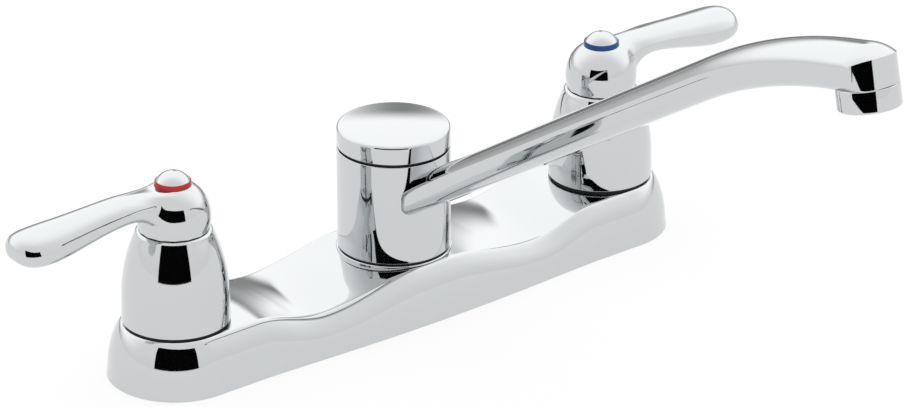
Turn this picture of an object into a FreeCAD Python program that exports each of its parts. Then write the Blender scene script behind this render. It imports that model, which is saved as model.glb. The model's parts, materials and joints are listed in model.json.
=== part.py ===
import FreeCAD, Part
import Sketcher
import math
import os

# Two-handle deck-mounted kitchen faucet with a swivelling cast spout.
# Millimetres. The origin is on the deck, on the axis of the spout post.
# +X points to the cold side, -Y to the user, +Z up.

SIZES = {
    # deck plate
    "valve_spacing": 203.2,
    "plate_end_radius": 26.0,
    "plate_middle_width": 57.6,
    "plate_pad_height": 21.4,
    "hub_pad_height": 22.0,
    "hub_pad_step": 0.4,
    "valley_height": 16.4,
    "plate_rim_height": 8.0,
    "plate_rim_draft": 0.9,
    "plate_shoulder": 5.6,
    "plate_wall": 2.4,
    "pad_margin": 0.5,
    # gasket and fixing below the deck
    "gasket_thickness": 2.0,
    "gasket_clearance": 0.6,
    "deck_room": 30.0,
    "shank_radius": 10.4,
    "shank_wall": 2.4,
    "shank_length": 64.0,
    "inlet_radius": 9.9,
    "inlet_length": 20.0,
    "washer_radius": 19.0,
    "washer_thickness": 2.0,
    "nut_width": 31.0,
    "nut_height": 9.0,
    # valve bodies
    "valve_flange_radius": 17.0,
    "valve_flange_height": 3.2,
    "valve_radius": 12.75,
    "valve_height": 38.0,
    "seat_thickness": 2.5,
    "seat_port_radius": 4.5,
    "spigot_length": 8.0,
    "gallery_radius": 10.7,
    "gallery_height": 9.0,
    # crossover tubes
    "crossover_axis_height": 9.5,
    "crossover_radius": 4.0,
    "crossover_wall": 0.8,
    "crossover_grip": 1.6,
    # cartridges
    "cartridge_radius": 9.2,
    "cartridge_flange_radius": 11.6,
    "cartridge_flange_height": 2.6,
    "cartridge_neck_radius": 7.0,
    "cartridge_neck_height": 4.4,
    "seal_thickness": 1.5,
    "seal_radius": 8.6,
    "disc_radius": 7.6,
    "disc_thickness": 3.0,
    "disc_port_radius": 1.9,
    "disc_port_offset": 3.8,
    "disc_running_gap": 0.05,
    "disc_pocket_gap": 0.35,
    "window_width": 7.0,
    "bonnet_width": 26.0,
    "bonnet_skirt": 6.0,
    "bonnet_web": 2.4,
    # stems
    "stem_radius": 4.2,
    "stem_flange_radius": 7.2,
    "stem_flange_height": 0.9,
    "stem_square": 5.8,
    "stem_square_height": 10.6,
    "tang_width": 2.6,
    "tang_length": 9.0,
    "tang_depth": 1.4,
    # bells
    "bell_radius": 20.0,
    "bell_straight_height": 9.0,
    "bell_height": 36.7,
    "bell_top_radius": 14.3,
    "bell_curve_radius": 66.0,
    "bell_brow": 1.2,
    "bell_brow_radius": 1.6,
    "bell_lean": 0.2,
    "bell_seal_height": 1.0,
    "bell_seal_margin": 0.9,
    "bell_wall": 1.8,
    "bell_collar_lift": 3.6,
    "bell_collar_height": 5.0,
    "bell_neck_radius": 11.0,
    "bell_neck_height": 1.9,
    "bell_top_web": 2.2,
    "bell_stem_hole": 6.0,
    # lever handles
    "lever_gap": 0.4,
    "lever_skirt_radius": 12.9,
    "lever_belly_radius": 13.6,
    "lever_belly_lift": 3.4,
    "lever_shoulder_radius": 12.9,
    "lever_shoulder_lift": 8.7,
    "lever_brow_radius": 11.2,
    "lever_brow_lift": 12.9,
    "lever_hub_height": 16.4,
    "lever_skirt_gap": 0.5,
    "lever_skirt_depth": 2.6,
    "lever_web": 2.6,
    "lever_length": 69.5,
    "lever_neck_width": 14.6,
    "lever_tip_width": 19.5,
    "lever_thickness": 12.0,
    "lever_axis_lift": 11.9,
    "lever_drop": 3.8,
    "lever_sweep": 3.0,
    "index_ring_radius": 6.7,
    "index_ring_height": 5.3,
    "index_ring_bore": 4.4,
    "index_recess": 2.6,
    "index_cap_radius": 6.2,
    "index_cap_height": 2.9,
    "index_cap_spigot": 1.6,
    "screw_head_radius": 3.9,
    "screw_head_height": 1.9,
    "screw_radius": 2.0,
    "screw_length": 9.0,
    # spout post, hub and cap
    "post_wall": 6.3,
    "post_base_step": 2.1,
    "post_base_clearance": 0.8,
    "post_roof": 5.0,
    "post_window_radius": 4.2,
    "stud_radius": 5.0,
    "stud_height": 7.6,
    "ring_section": 2.6,
    "ring_lower_land": 6.45,
    "ring_upper_drop": 3.2,
    "glide_ring_height": 0.9,
    "glide_ring_margin": 0.9,
    "hub_radius": 21.3,
    "hub_wall": 7.34,
    "hub_chamber_wall": 4.7,
    "hub_chamber_height": 11.0,
    "hub_chamber_land": 5.0,
    "hub_rim_wall": 5.1,
    "hub_rim_height": 3.56,
    "hub_edge": 0.2,
    "thrust_washer_height": 1.2,
    "retaining_nut_width": 16.0,
    "retaining_nut_height": 5.0,
    "cap_seal_height": 0.5,
    "cap_seal_margin": 0.6,
    "cap_height": 8.3,
    "cap_edge": 1.2,
    "cap_crown": 0.7,
    "cap_wall": 2.2,
    "cap_spigot_height": 2.0,
    # spout arm and aerator
    "spout_root_height": 51.3,
    "spout_rise_angle": 32.2,
    "spout_end_angle": 12.5,
    "spout_straight": 184.0,
    "spout_bend_radius": 208.0,
    "spout_lead": 7.8,
    "spout_width": 22.0,
    "spout_root_depth": 13.2,
    "spout_bend_depth": 14.3,
    "spout_nose_depth": 15.6,
    "spout_nose_round": 18.0,
    "spout_bore_radius": 3.9,
    "nozzle_thread_radius": 9.6,
    "nozzle_thread_depth": 5.4,
    "collar_height": 8.0,
    "collar_sink": 1.3,
    "collar_edge": 0.7,
    "collar_bore_radius": 7.9,
    "collar_lip": 0.8,
    "screen_height": 4.4,
    "screen_hole_radius": 0.7,
    "screen_inner_ring": 2.6,
    "screen_outer_ring": 5.4,
    "aerator_washer_height": 1.2,
    # clearances and the overrun of cuts
    "thread_fit": 0.05,
    "running_fit": 0.06,
    "loose_fit": 0.3,
    "end_play": 0.1,
    "seam_gap": 0.1,
    "overrun": 1.0,
}

doc = FreeCAD.newDocument("kitchen_faucet")
sheet = doc.addObject("Spreadsheet::Sheet", "Sizes")
for row, (alias, number) in enumerate(SIZES.items(), start=1):
    sheet.set("A%d" % row, alias)
    sheet.set("B%d" % row, str(number))
    sheet.setAlias("B%d" % row, alias)
doc.recompute()


class Size:
    """A cell of the sheet, or a sum of cells, as a number and as an expression."""

    def __init__(self, number, text):
        self.number = number
        self.text = text

    def join(self, other, sign, number):
        return Size(number, "(%s %s %s)" % (self.text, sign, as_size(other).text))

    def __add__(self, other):
        return self.join(other, "+", self.number + as_size(other).number)

    def __sub__(self, other):
        return self.join(other, "-", self.number - as_size(other).number)

    def __mul__(self, other):
        return self.join(other, "*", self.number * as_size(other).number)

    def __truediv__(self, other):
        return self.join(other, "/", self.number / as_size(other).number)

    def __neg__(self):
        return Size(-self.number, "(-%s)" % self.text)

    def __float__(self):
        return self.number


def as_size(value):
    return value if isinstance(value, Size) else Size(float(value), repr(float(value)))


def cell(alias):
    return Size(float(sheet.get(alias)), "Sizes.%s" % alias)


def sine(angle):
    return Size(math.sin(math.radians(angle.number)), "sin(%s)" % angle.text)


def cosine(angle):
    return Size(math.cos(math.radians(angle.number)), "cos(%s)" % angle.text)


class Cells:
    """The sheet's cells by name."""

    def __getattr__(self, alias):
        return cell(alias)


d = Cells()
ZERO = as_size(0)
UP = FreeCAD.Vector(0, 0, 1)
ACROSS = FreeCAD.Vector(1, 0, 0)
INWARDS = FreeCAD.Vector(0, 1, 0)
SIDES = {"hot": -1, "cold": 1}
PARTS = {}


def keep(name, thing):
    """Names a finished sub-part."""
    thing.Label = name
    PARTS[name] = thing
    return thing


def place(thing, x=ZERO, y=ZERO, z=ZERO, turn=None, about=UP):
    """Puts an object at a place bound to the sheet, turned by a bound angle."""
    if turn is not None:
        thing.Placement = FreeCAD.Placement(FreeCAD.Vector(), FreeCAD.Rotation(about, turn.number))
        thing.setExpression("Placement.Rotation.Angle", turn.text)
    for axis, size in (("x", x), ("y", y), ("z", z)):
        thing.setExpression("Placement.Base.%s" % axis, size.text)
    return thing


def origin_plane(body, role):
    return next(plane for plane in body.Origin.OriginFeatures if plane.Role == role)


def bind_point(sketch, line, end, across, along):
    """Ties one corner of a profile to its two sizes."""
    for kind, axis, size in (("DistanceX", -2, across), ("DistanceY", -1, along)):
        if size.text == ZERO.text:
            sketch.addConstraint(Sketcher.Constraint("PointOnObject", line, end, axis))
        else:
            index = sketch.addConstraint(Sketcher.Constraint(kind, line, end, size.number))
            sketch.setExpression("Constraints[%d]" % index, size.text)


def bulged(start, end, radius):
    """The point halfway along an arc. A positive radius bulges to the right of the way."""
    chord = end - start
    half = chord.Length / 2
    reach = abs(radius) - math.sqrt(radius * radius - half * half)
    side = FreeCAD.Vector(chord.y, -chord.x, 0).normalize() * math.copysign(reach, radius)
    return (start + end) * 0.5 + side


def profile(body, name, role, corners):
    """A closed sketch through corners (across, along), or (across, along, arc radius to it)."""
    sketch = body.newObject("Sketcher::SketchObject", name)
    sketch.AttachmentSupport = [(origin_plane(body, role), "")]
    sketch.MapMode = "FlatFace"
    points = [FreeCAD.Vector(corner[0].number, corner[1].number, 0) for corner in corners]
    count = len(corners)
    for index in range(count):
        start, end = points[index], points[(index + 1) % count]
        target = corners[(index + 1) % count]
        if len(target) == 3:
            middle = bulged(start, end, target[2].number)
            first, last = (start, end) if target[2].number > 0 else (end, start)
            sketch.addGeometry(Part.ArcOfCircle(first, middle, last))
        else:
            sketch.addGeometry(Part.LineSegment(start, end))
    ends = []
    for index in range(count):
        edge = sketch.Geometry[index]
        swapped = (edge.StartPoint - points[index]).Length > (edge.EndPoint - points[index]).Length
        ends.append((2, 1) if swapped else (1, 2))
    for index in range(count):
        after = (index + 1) % count
        meeting = (index, ends[index][1], after, ends[after][0])
        sketch.addConstraint(Sketcher.Constraint("Coincident", *meeting))
    for index, corner in enumerate(corners):
        bind_point(sketch, index, ends[index][0], corner[0], corner[1])
        if len(corner) == 3:
            radius = Size(abs(corner[2].number), "abs(%s)" % corner[2].text)
            arc = (index - 1) % count
            tie = sketch.addConstraint(Sketcher.Constraint("Radius", arc, radius.number))
            sketch.setExpression("Constraints[%d]" % tie, radius.text)
    return sketch


def turned(name, corners):
    """A body turned about its own Z axis from a half profile (radius, height)."""
    body = doc.addObject("PartDesign::Body", name)
    sketch = profile(body, name + "_profile", "XZ_Plane", corners)
    turn = body.newObject("PartDesign::Revolution", name + "_turn")
    turn.Profile = sketch
    turn.ReferenceAxis = (sketch, ["V_Axis"])
    turn.Angle = 360
    sketch.Visibility = False
    return body


def ring(name, inner, outer, low, high):
    return turned(name, [(inner, low), (outer, low), (outer, high), (inner, high)])


def cylinder(name, radius, height):
    thing = doc.addObject("Part::Cylinder", name)
    thing.setExpression("Radius", radius.text)
    thing.setExpression("Height", height.text)
    return thing


def block(name, length, width, height):
    thing = doc.addObject("Part::Box", name)
    for side, size in (("Length", length), ("Width", width), ("Height", height)):
        thing.setExpression(side, size.text)
    return thing


def hexagon(name, width, height):
    """A hexagonal bar measured across its flats."""
    thing = doc.addObject("Part::Prism", name)
    thing.Polygon = 6
    thing.setExpression("Circumradius", (width / cosine(as_size(30)) / 2).text)
    thing.setExpression("Height", height.text)
    return thing


def cut(name, base, *tools):
    """The base less each tool in turn."""
    result = base
    for index, tool in enumerate(tools):
        step = doc.addObject("Part::Cut", "%s_cut_%d" % (name, index))
        step.Base = result
        step.Tool = tool
        result = step
    return result


def fuse(name, base, tool):
    result = doc.addObject("Part::Fuse", name + "_joined")
    result.Base = base
    result.Tool = tool
    return result


def formed(name, shape):
    """A free form worked out from the sheet's sizes."""
    thing = doc.addObject("Part::Feature", name)
    thing.Shape = shape
    return thing


# Levels and places that several pieces share
VALVE_X = d.valve_spacing / 2
VALVE_FOOT = d.gasket_thickness
VALVE_TOP = VALVE_FOOT + d.valve_height
SEAT = VALVE_FOOT + d.seat_thickness
DISC_FOOT = SEAT + d.seal_thickness
DISC_SPLIT = DISC_FOOT + d.disc_thickness + d.disc_running_gap
STEM_FOOT = DISC_SPLIT + d.disc_thickness + d.disc_running_gap
POCKET_ROOF = STEM_FOOT + d.stem_flange_height + d.end_play
FLANGE_TOP = VALVE_TOP + d.cartridge_flange_height
BELL_TOP = d.plate_pad_height + d.bell_height
NECK_TOP = BELL_TOP + d.bell_neck_height
LEVER_FOOT = BELL_TOP + d.lever_gap
LEVER_TOP = LEVER_FOOT + d.lever_hub_height
LEVER_CEILING = LEVER_FOOT + d.lever_skirt_depth
RECESS_FLOOR = LEVER_TOP - d.index_recess
SCREW_SEAT = RECESS_FLOOR - d.screw_head_height - d.end_play
STEM_TOP = SCREW_SEAT - d.lever_web
SOCKET_ROOF = STEM_TOP + d.end_play
POST_FOOT = d.gasket_thickness
POST_LEDGE = d.hub_pad_height - d.plate_wall - d.post_base_clearance
HUB_BORE = d.hub_radius - d.hub_wall
CHAMBER_RADIUS = d.hub_radius - d.hub_chamber_wall
RECESS_RADIUS = d.hub_radius - d.hub_rim_wall
POST_RADIUS = HUB_BORE - d.running_fit
POST_BASE_RADIUS = POST_RADIUS + d.post_base_step
ARM_SLOPE = sine(d.spout_rise_angle) / cosine(d.spout_rise_angle)
CHAMBER_MIDDLE = d.spout_root_height - d.hub_chamber_wall * ARM_SLOPE
CHAMBER_FOOT = CHAMBER_MIDDLE - d.hub_chamber_height / 2
CHAMBER_TOP = CHAMBER_MIDDLE + d.hub_chamber_height / 2
POST_TOP = CHAMBER_TOP + d.hub_chamber_land
RING_LOW = CHAMBER_FOOT - d.ring_lower_land
RING_HIGH = POST_TOP - d.ring_upper_drop
HUB_FOOT = d.hub_pad_height + d.glide_ring_height + d.end_play
HUB_TOP = POST_TOP + d.hub_rim_height
HUB_LEDGE = POST_TOP - d.end_play
NUT_FOOT = POST_TOP + d.thrust_washer_height
CAP_FOOT = HUB_TOP + d.cap_seal_height


# Deck plate: a saddle-topped shell with round ends, hollow underneath
# Height of the saddle from its valley (0) to its pads (1), at even stations from the hub to a bell
SADDLE_RISE_SHARES = (1.0, 0.997, 0.89, 0.665, 0.389, 0.146, 0.012, 0.067, 0.413, 0.821, 1.0)

# How far a cubic curve's handles reach to draw a quarter of an ellipse
QUARTER_SHARE = 0.5523


def curved(poles):
    """A cubic curve through its end poles."""
    curve = Part.BezierCurve()
    curve.setPoles(poles)
    return curve.toShape()


def plate_section(x, half_width, height, inset):
    """The plate's outline across its length at x, drawn in by a wall: rims, round shoulders, level top."""
    rim = float(d.plate_rim_height)
    wide = half_width - inset
    wall = wide - float(d.plate_rim_draft)
    top = height - inset
    brink = wall - float(d.plate_shoulder)

    def at(y, z):
        return FreeCAD.Vector(x, y, z)

    def shoulder(side):
        return [at(side * wall, rim), at(side * wall, rim + (top - rim) * QUARTER_SHARE),
                at(side * (brink + (wall - brink) * QUARTER_SHARE), top), at(side * brink, top)]

    right, left = shoulder(1), shoulder(-1)
    edges = [Part.makeLine(at(-wide, 0), at(wide, 0)), Part.makeLine(at(wide, 0), right[0]), curved(right),
             Part.makeLine(right[-1], left[-1]), curved(left[::-1]), Part.makeLine(left[0], at(-wide, 0))]
    return Part.Wire(edges)


def plate_form(inset):
    """The plate's solid form, drawn in all round by a wall: a saddle between two level round ends."""
    reach = float(VALVE_X)
    end = float(d.plate_end_radius)
    saddle = reach - float(d.bell_radius + d.pad_margin)
    middle = float(d.plate_middle_width) / 2
    pad = float(d.plate_pad_height)
    crest = float(d.hub_pad_height - d.hub_pad_step)
    valley = float(d.valley_height)
    sections = []
    for index, rise in enumerate(SADDLE_RISE_SHARES):
        station = index / (len(SADDLE_RISE_SHARES) - 1)
        blend = station * station
        peak = crest + (pad - crest) * blend
        width = end + (middle - end) * (1 - blend) ** 1.5
        sections.append((station * saddle, width, valley + (peak - valley) * rise))
    ordered = [(-x, width, height) for x, width, height in reversed(sections[1:])] + sections
    form = Part.makeLoft([plate_section(*section, inset) for section in ordered], True)
    half = Part.makeBox(reach * 2, end * 2, end * 2)
    for side in SIDES.values():
        section = Part.Face(plate_section(side * saddle, end, pad, inset))
        form = form.fuse(section.extrude(ACROSS * (side * (reach - saddle))))
        section = Part.Face(plate_section(side * reach, end, pad, inset))
        half.Placement.Base = FreeCAD.Vector(side * reach - reach, 0, -end)
        form = form.fuse(section.common(half).revolve(ACROSS * (side * reach), UP, -180 * side))
    return form


def make_deck_plate():
    tall = float(d.plate_pad_height + d.hub_pad_height)
    low = float(d.plate_rim_height)
    pad_radius = float(d.hub_radius + d.pad_margin)
    pad = Part.makeCylinder(pad_radius, float(d.hub_pad_height) - low, UP * low)
    shell = plate_form(0).fuse(pad).cut(plate_form(float(d.plate_wall)))
    holes = [(0, POST_RADIUS)] + [(side * float(VALVE_X), d.valve_radius) for side in SIDES.values()]
    for x, radius in holes:
        bore = float(radius + d.loose_fit)
        shell = shell.cut(Part.makeCylinder(bore, tall, ACROSS * x))
    return keep("deck_plate", formed("deck_plate", shell.removeSplitter()))


def make_deck_gasket():
    """A rubber sheet with round ends inside the plate's rim, with a hole for each shank."""
    end = d.plate_end_radius - d.plate_wall - d.gasket_clearance
    middle = block("gasket_middle", d.valve_spacing, end * 2, d.gasket_thickness)
    sheet_form = place(middle, x=-VALVE_X, y=-end)
    holes = []
    for name, side in SIDES.items():
        round_end = place(cylinder(name + "_gasket_end", end, d.gasket_thickness), x=VALVE_X * side)
        sheet_form = fuse(name + "_gasket", sheet_form, round_end)
        deep = d.gasket_thickness + d.overrun * 2
        hole = cylinder(name + "_gasket_hole", d.shank_radius + d.loose_fit, deep)
        holes.append(place(hole, x=VALVE_X * side, z=-d.overrun))
    return keep("deck_gasket", cut("gasket", sheet_form, *holes))


# Inlet shanks with what clamps them under the deck

def make_shank(name, x):
    """The threaded tube with its plain inlet end, and the washer and nut that draw it down."""
    inner = d.shank_radius - d.shank_wall
    inlet_top = d.inlet_length - d.shank_length
    shank = turned(name + "_shank", [
        (inner, -d.shank_length), (d.inlet_radius, -d.shank_length), (d.inlet_radius, inlet_top),
        (d.shank_radius, inlet_top), (d.shank_radius, VALVE_FOOT), (inner, VALVE_FOOT)])
    keep(name + "_shank", place(shank, x=x))
    washer_top = -d.deck_room
    washer_foot = washer_top - d.washer_thickness
    bore = d.shank_radius + d.thread_fit
    washer = ring(name + "_mounting_washer", bore, d.washer_radius, washer_foot, washer_top)
    keep(name + "_mounting_washer", place(washer, x=x))
    nut = hexagon(name + "_nut_bar", d.nut_width, d.nut_height)
    hole = place(cylinder(name + "_nut_bore", bore, d.nut_height + d.overrun * 2), z=-d.overrun)
    nut = cut(name + "_nut", nut, hole)
    keep(name + "_mounting_nut", place(nut, x=x, z=washer_foot - d.nut_height))


# Valve bodies, and the tubes that join them to the post

def make_valve_body(name, side):
    chamber = d.cartridge_radius + d.thread_fit
    spigot = d.shank_radius - d.shank_wall - d.thread_fit
    spigot_foot = VALVE_FOOT - d.spigot_length
    flange_top = VALVE_FOOT + d.valve_flange_height
    gallery_foot = DISC_FOOT
    gallery_top = DISC_FOOT + d.gallery_height
    body = turned(name + "_valve", [
        (d.seat_port_radius, spigot_foot), (spigot, spigot_foot), (spigot, VALVE_FOOT),
        (d.valve_flange_radius, VALVE_FOOT), (d.valve_flange_radius, flange_top),
        (d.valve_radius, flange_top), (d.valve_radius, VALVE_TOP), (chamber, VALVE_TOP),
        (chamber, gallery_top), (d.gallery_radius, gallery_top), (d.gallery_radius, gallery_foot),
        (chamber, gallery_foot), (chamber, SEAT), (d.seat_port_radius, SEAT)])
    reach = d.valve_flange_radius + d.overrun
    port = cylinder(name + "_valve_port", d.crossover_radius + d.thread_fit, reach)
    place(port, z=d.crossover_axis_height, turn=as_size(-90 * side), about=INWARDS)
    valve = cut(name + "_valve_ported", body, port)
    keep(name + "_valve_body", place(valve, x=VALVE_X * side))


def make_crossover(name, side):
    start = POST_BASE_RADIUS - d.crossover_grip
    end = VALVE_X - d.valve_radius + d.crossover_grip
    length = end - start
    outside = cylinder(name + "_tube_outside", d.crossover_radius, length)
    inside = cylinder(name + "_tube_bore", d.crossover_radius - d.crossover_wall, length + d.overrun * 2)
    tube = cut(name + "_tube", outside, place(inside, z=-d.overrun))
    place(tube, x=start * side, z=d.crossover_axis_height, turn=as_size(90 * side), about=INWARDS)
    keep(name + "_crossover_tube", tube)


# Quarter-turn ceramic valves

def make_disc(name, foot):
    """A ceramic disc with two ports."""
    disc = cylinder(name + "_blank", d.disc_radius, d.disc_thickness)
    deep = d.disc_thickness + d.overrun * 2
    ports = []
    for side in SIDES.values():
        port = cylinder("%s_port_%d" % (name, side + 2), d.disc_port_radius, deep)
        ports.append(place(port, x=d.disc_port_offset * side, z=-d.overrun))
    return place(cut(name, disc, *ports), z=foot)


def make_cartridge(name, x):
    seal = ring(name + "_seat_seal", d.seat_port_radius, d.seal_radius, SEAT, DISC_FOOT)
    keep(name + "_seat_seal", place(seal, x=x))
    fixed = make_disc(name + "_fixed", DISC_FOOT)
    keep(name + "_fixed_disc", place(fixed, x=x, z=DISC_FOOT))
    pocket = d.disc_radius + d.disc_pocket_gap
    bore = d.stem_radius + d.running_fit
    neck_top = FLANGE_TOP + d.cartridge_neck_height
    body = turned(name + "_cartridge", [
        (pocket, DISC_FOOT), (d.cartridge_radius, DISC_FOOT), (d.cartridge_radius, VALVE_TOP),
        (d.cartridge_flange_radius, VALVE_TOP), (d.cartridge_flange_radius, FLANGE_TOP),
        (d.cartridge_neck_radius, FLANGE_TOP), (d.cartridge_neck_radius, neck_top),
        (bore, neck_top), (bore, POCKET_ROOF), (pocket, POCKET_ROOF)])
    across = d.cartridge_radius * 2 + d.overrun * 2
    window = block(name + "_window", across, d.window_width, d.disc_thickness)
    place(window, x=-d.cartridge_radius - d.overrun, y=-d.window_width / 2, z=DISC_SPLIT)
    cartridge = cut(name + "_cartridge_ported", body, window)
    keep(name + "_cartridge_body", place(cartridge, x=x))
    inner = d.valve_radius + d.thread_fit
    bar_foot = VALVE_TOP - d.bonnet_skirt
    web_foot = FLANGE_TOP
    bar = hexagon(name + "_bonnet_bar", d.bonnet_width, web_foot + d.bonnet_web - bar_foot)
    thread = place(cylinder(name + "_bonnet_thread", inner, web_foot - bar_foot + d.overrun), z=-d.overrun)
    eye = cylinder(name + "_bonnet_eye", d.cartridge_neck_radius + d.thread_fit, web_foot)
    bonnet = cut(name + "_bonnet", bar, thread, eye)
    keep(name + "_bonnet_nut", place(bonnet, x=x, z=bar_foot))


def make_bell(name, x):
    """A bell, and the rubber ring that it is screwed down on."""
    pad = d.plate_pad_height
    foot = pad + d.bell_seal_height
    wall = d.bell_wall
    lean_radius = d.bell_radius - d.bell_lean
    straight_top = pad + d.bell_straight_height
    collar_foot = pad + d.bell_collar_lift
    collar_top = collar_foot + d.bell_collar_height
    collar_bore = d.valve_radius + d.thread_fit
    roof = BELL_TOP - d.bell_top_web
    bell = turned(name + "_bell", [
        (d.bell_radius - wall, foot), (d.bell_radius, foot), (lean_radius, straight_top),
        (d.bell_top_radius, BELL_TOP - d.bell_brow, d.bell_curve_radius),
        (d.bell_top_radius - d.bell_brow, BELL_TOP, d.bell_brow_radius),
        (d.bell_neck_radius, BELL_TOP), (d.bell_neck_radius, NECK_TOP),
        (d.bell_stem_hole, NECK_TOP), (d.bell_stem_hole, roof),
        (d.bell_top_radius - wall, roof),
        (lean_radius - wall, straight_top, -(d.bell_curve_radius - wall)),
        (lean_radius - wall, collar_top), (collar_bore, collar_top),
        (collar_bore, collar_foot), (d.bell_radius - wall, collar_foot)])
    keep(name + "_bell", place(bell, x=x))
    seal = ring(name + "_bell_seal", d.bell_radius - wall, d.bell_radius - d.bell_seal_margin, pad, foot)
    keep(name + "_bell_seal", place(seal, x=x))


# Stems, and the lever handles that turn them

def handle_turn(side):
    """A lever points outwards, swept a little towards the back."""
    return d.lever_sweep if side > 0 else -d.lever_sweep + 180


def make_stem(name, side):
    turn = handle_turn(side)
    square_foot = STEM_TOP - d.stem_square_height
    flange_top = STEM_FOOT + d.stem_flange_height
    body = turned(name + "_stem_round", [
        (ZERO, STEM_FOOT), (d.stem_flange_radius, STEM_FOOT), (d.stem_flange_radius, flange_top),
        (d.stem_radius, flange_top), (d.stem_radius, square_foot), (ZERO, square_foot)])
    square = block(name + "_stem_square", d.stem_square, d.stem_square, d.stem_square_height)
    place(square, x=-d.stem_square / 2, y=-d.stem_square / 2, z=square_foot)
    tang = block(name + "_stem_tang", d.tang_length, d.tang_width, d.tang_depth)
    place(tang, x=-d.tang_length / 2, y=-d.tang_width / 2, z=STEM_FOOT - d.tang_depth)
    solid = fuse(name + "_stem_tanged", fuse(name + "_stem_squared", body, square), tang)
    tapping = cylinder(name + "_stem_tapping", d.screw_radius + d.thread_fit, d.screw_length)
    place(tapping, z=STEM_TOP + d.overrun - d.screw_length)
    stem = cut(name + "_stem_tapped", solid, tapping)
    keep(name + "_stem", place(stem, x=VALVE_X * side, turn=turn))
    slot_length = d.tang_length + d.end_play * 2
    slot_width = d.tang_width + d.end_play * 2
    slot = block(name + "_disc_slot", slot_length, slot_width, d.disc_thickness)
    place(slot, x=-slot_length / 2, y=-slot_width / 2, z=d.disc_thickness - d.tang_depth - d.end_play)
    blank = make_disc(name + "_turning", ZERO)
    disc = cut(name + "_disc_slotted", blank, slot)
    keep(name + "_turning_disc", place(disc, x=VALVE_X * side, z=DISC_SPLIT, turn=turn))
    head_top = SCREW_SEAT + d.screw_head_height
    thread_foot = STEM_TOP + d.overrun * 2 - d.screw_length
    screw = turned(name + "_screw", [
        (ZERO, thread_foot), (d.screw_radius, thread_foot), (d.screw_radius, SCREW_SEAT),
        (d.screw_head_radius, SCREW_SEAT), (d.screw_head_radius, head_top), (ZERO, head_top)])
    keep(name + "_handle_screw", place(screw, x=VALVE_X * side))


def arched_section(centre, along, width, depth, arch_share=0.5, corner_share=0.28):
    """A section square to a path in the XZ plane: upright sides, an arched top, rounded lower corners."""
    rise = FreeCAD.Vector(-along.z, 0, along.x)
    wide = INWARDS * (width / 2)
    corner = depth * corner_share
    spring = depth * (0.5 - arch_share)

    def at(share, height):
        return centre + wide * share + rise * height

    inner = 1 - corner * 2 / width
    sides = []
    for side in (1, -1):
        low = [at(side * inner, -depth / 2), at(side * (inner + (1 - inner) * QUARTER_SHARE), -depth / 2),
               at(side, corner * (1 - QUARTER_SHARE) - depth / 2), at(side, corner - depth / 2)]
        high = [at(side, spring), at(side, spring + (depth / 2 - spring) * QUARTER_SHARE),
                at(side * QUARTER_SHARE, depth / 2), at(0, depth / 2)]
        sides.append((low, high))
    (low, high), (far_low, far_high) = sides
    edges = [Part.makeLine(far_low[0], low[0]), curved(low), Part.makeLine(low[-1], high[0]), curved(high),
             curved(far_high[::-1]), Part.makeLine(far_high[0], far_low[-1]), curved(far_low[::-1])]
    return Part.Wire(edges)


LEVER_STATION_SHARES = (0.06, 0.2, 0.34, 0.5, 0.66, 0.8, 0.9, 0.962, 0.992)
LEVER_DROP_SHARES = (-0.13, -0.21, -0.26, 0.1, 0.58, 0.86, 0.9, 0.85, 0.82)
LEVER_FLARE_SHARES = (0.3, 0.1, 0.0, 0.12, 0.52, 0.92, 0.85, 0.1, -1.6)
LEVER_DEPTH_SHARES = (0.7, 0.75, 0.76, 0.85, 1.0, 1.1, 1.02, 0.8, 0.42)


def lever_arm():
    """The lever's arm along +X: it leaves the hub level, dips and flares to a rounded paddle."""
    length = float(d.lever_length)
    lift = float(LEVER_FOOT + d.lever_axis_lift)
    neck = float(d.lever_neck_width)
    flare = float(d.lever_tip_width) - neck
    table = list(zip(LEVER_STATION_SHARES, LEVER_DROP_SHARES, LEVER_FLARE_SHARES, LEVER_DEPTH_SHARES))
    wires = []
    for station, drop, wider, deeper in table:
        centre = FreeCAD.Vector(length * station, 0, lift - float(d.lever_drop) * drop)
        depth = float(d.lever_thickness) * deeper
        wires.append(arched_section(centre, ACROSS, neck + flare * wider, depth))
    return Part.makeLoft(wires, True)


def lever_hub():
    """The lever's domed hub, solid."""
    foot = float(LEVER_FOOT)
    heights = (d.lever_belly_lift, d.lever_shoulder_lift, d.lever_brow_lift, d.lever_hub_height)
    radii = (d.lever_belly_radius, d.lever_shoulder_radius, d.lever_brow_radius, d.index_ring_radius)
    line = [FreeCAD.Vector(float(d.lever_skirt_radius), 0, foot)]
    line += [FreeCAD.Vector(float(radius), 0, foot + float(lift)) for radius, lift in zip(radii, heights)]
    curve = Part.BSplineCurve()
    curve.interpolate(line)
    axis_top = FreeCAD.Vector(0, 0, float(LEVER_TOP))
    axis_foot = FreeCAD.Vector(0, 0, foot)
    edges = [curve.toShape(), Part.makeLine(line[-1], axis_top), Part.makeLine(axis_top, axis_foot),
             Part.makeLine(axis_foot, line[0])]
    return Part.Face(Part.Wire(edges)).revolve(FreeCAD.Vector(), UP, 360)


def bored(shape, radius, low, high):
    """The shape less a hole on its Z axis between two levels."""
    return shape.cut(Part.makeCylinder(float(radius), float(high - low), UP * float(low)))


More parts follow.
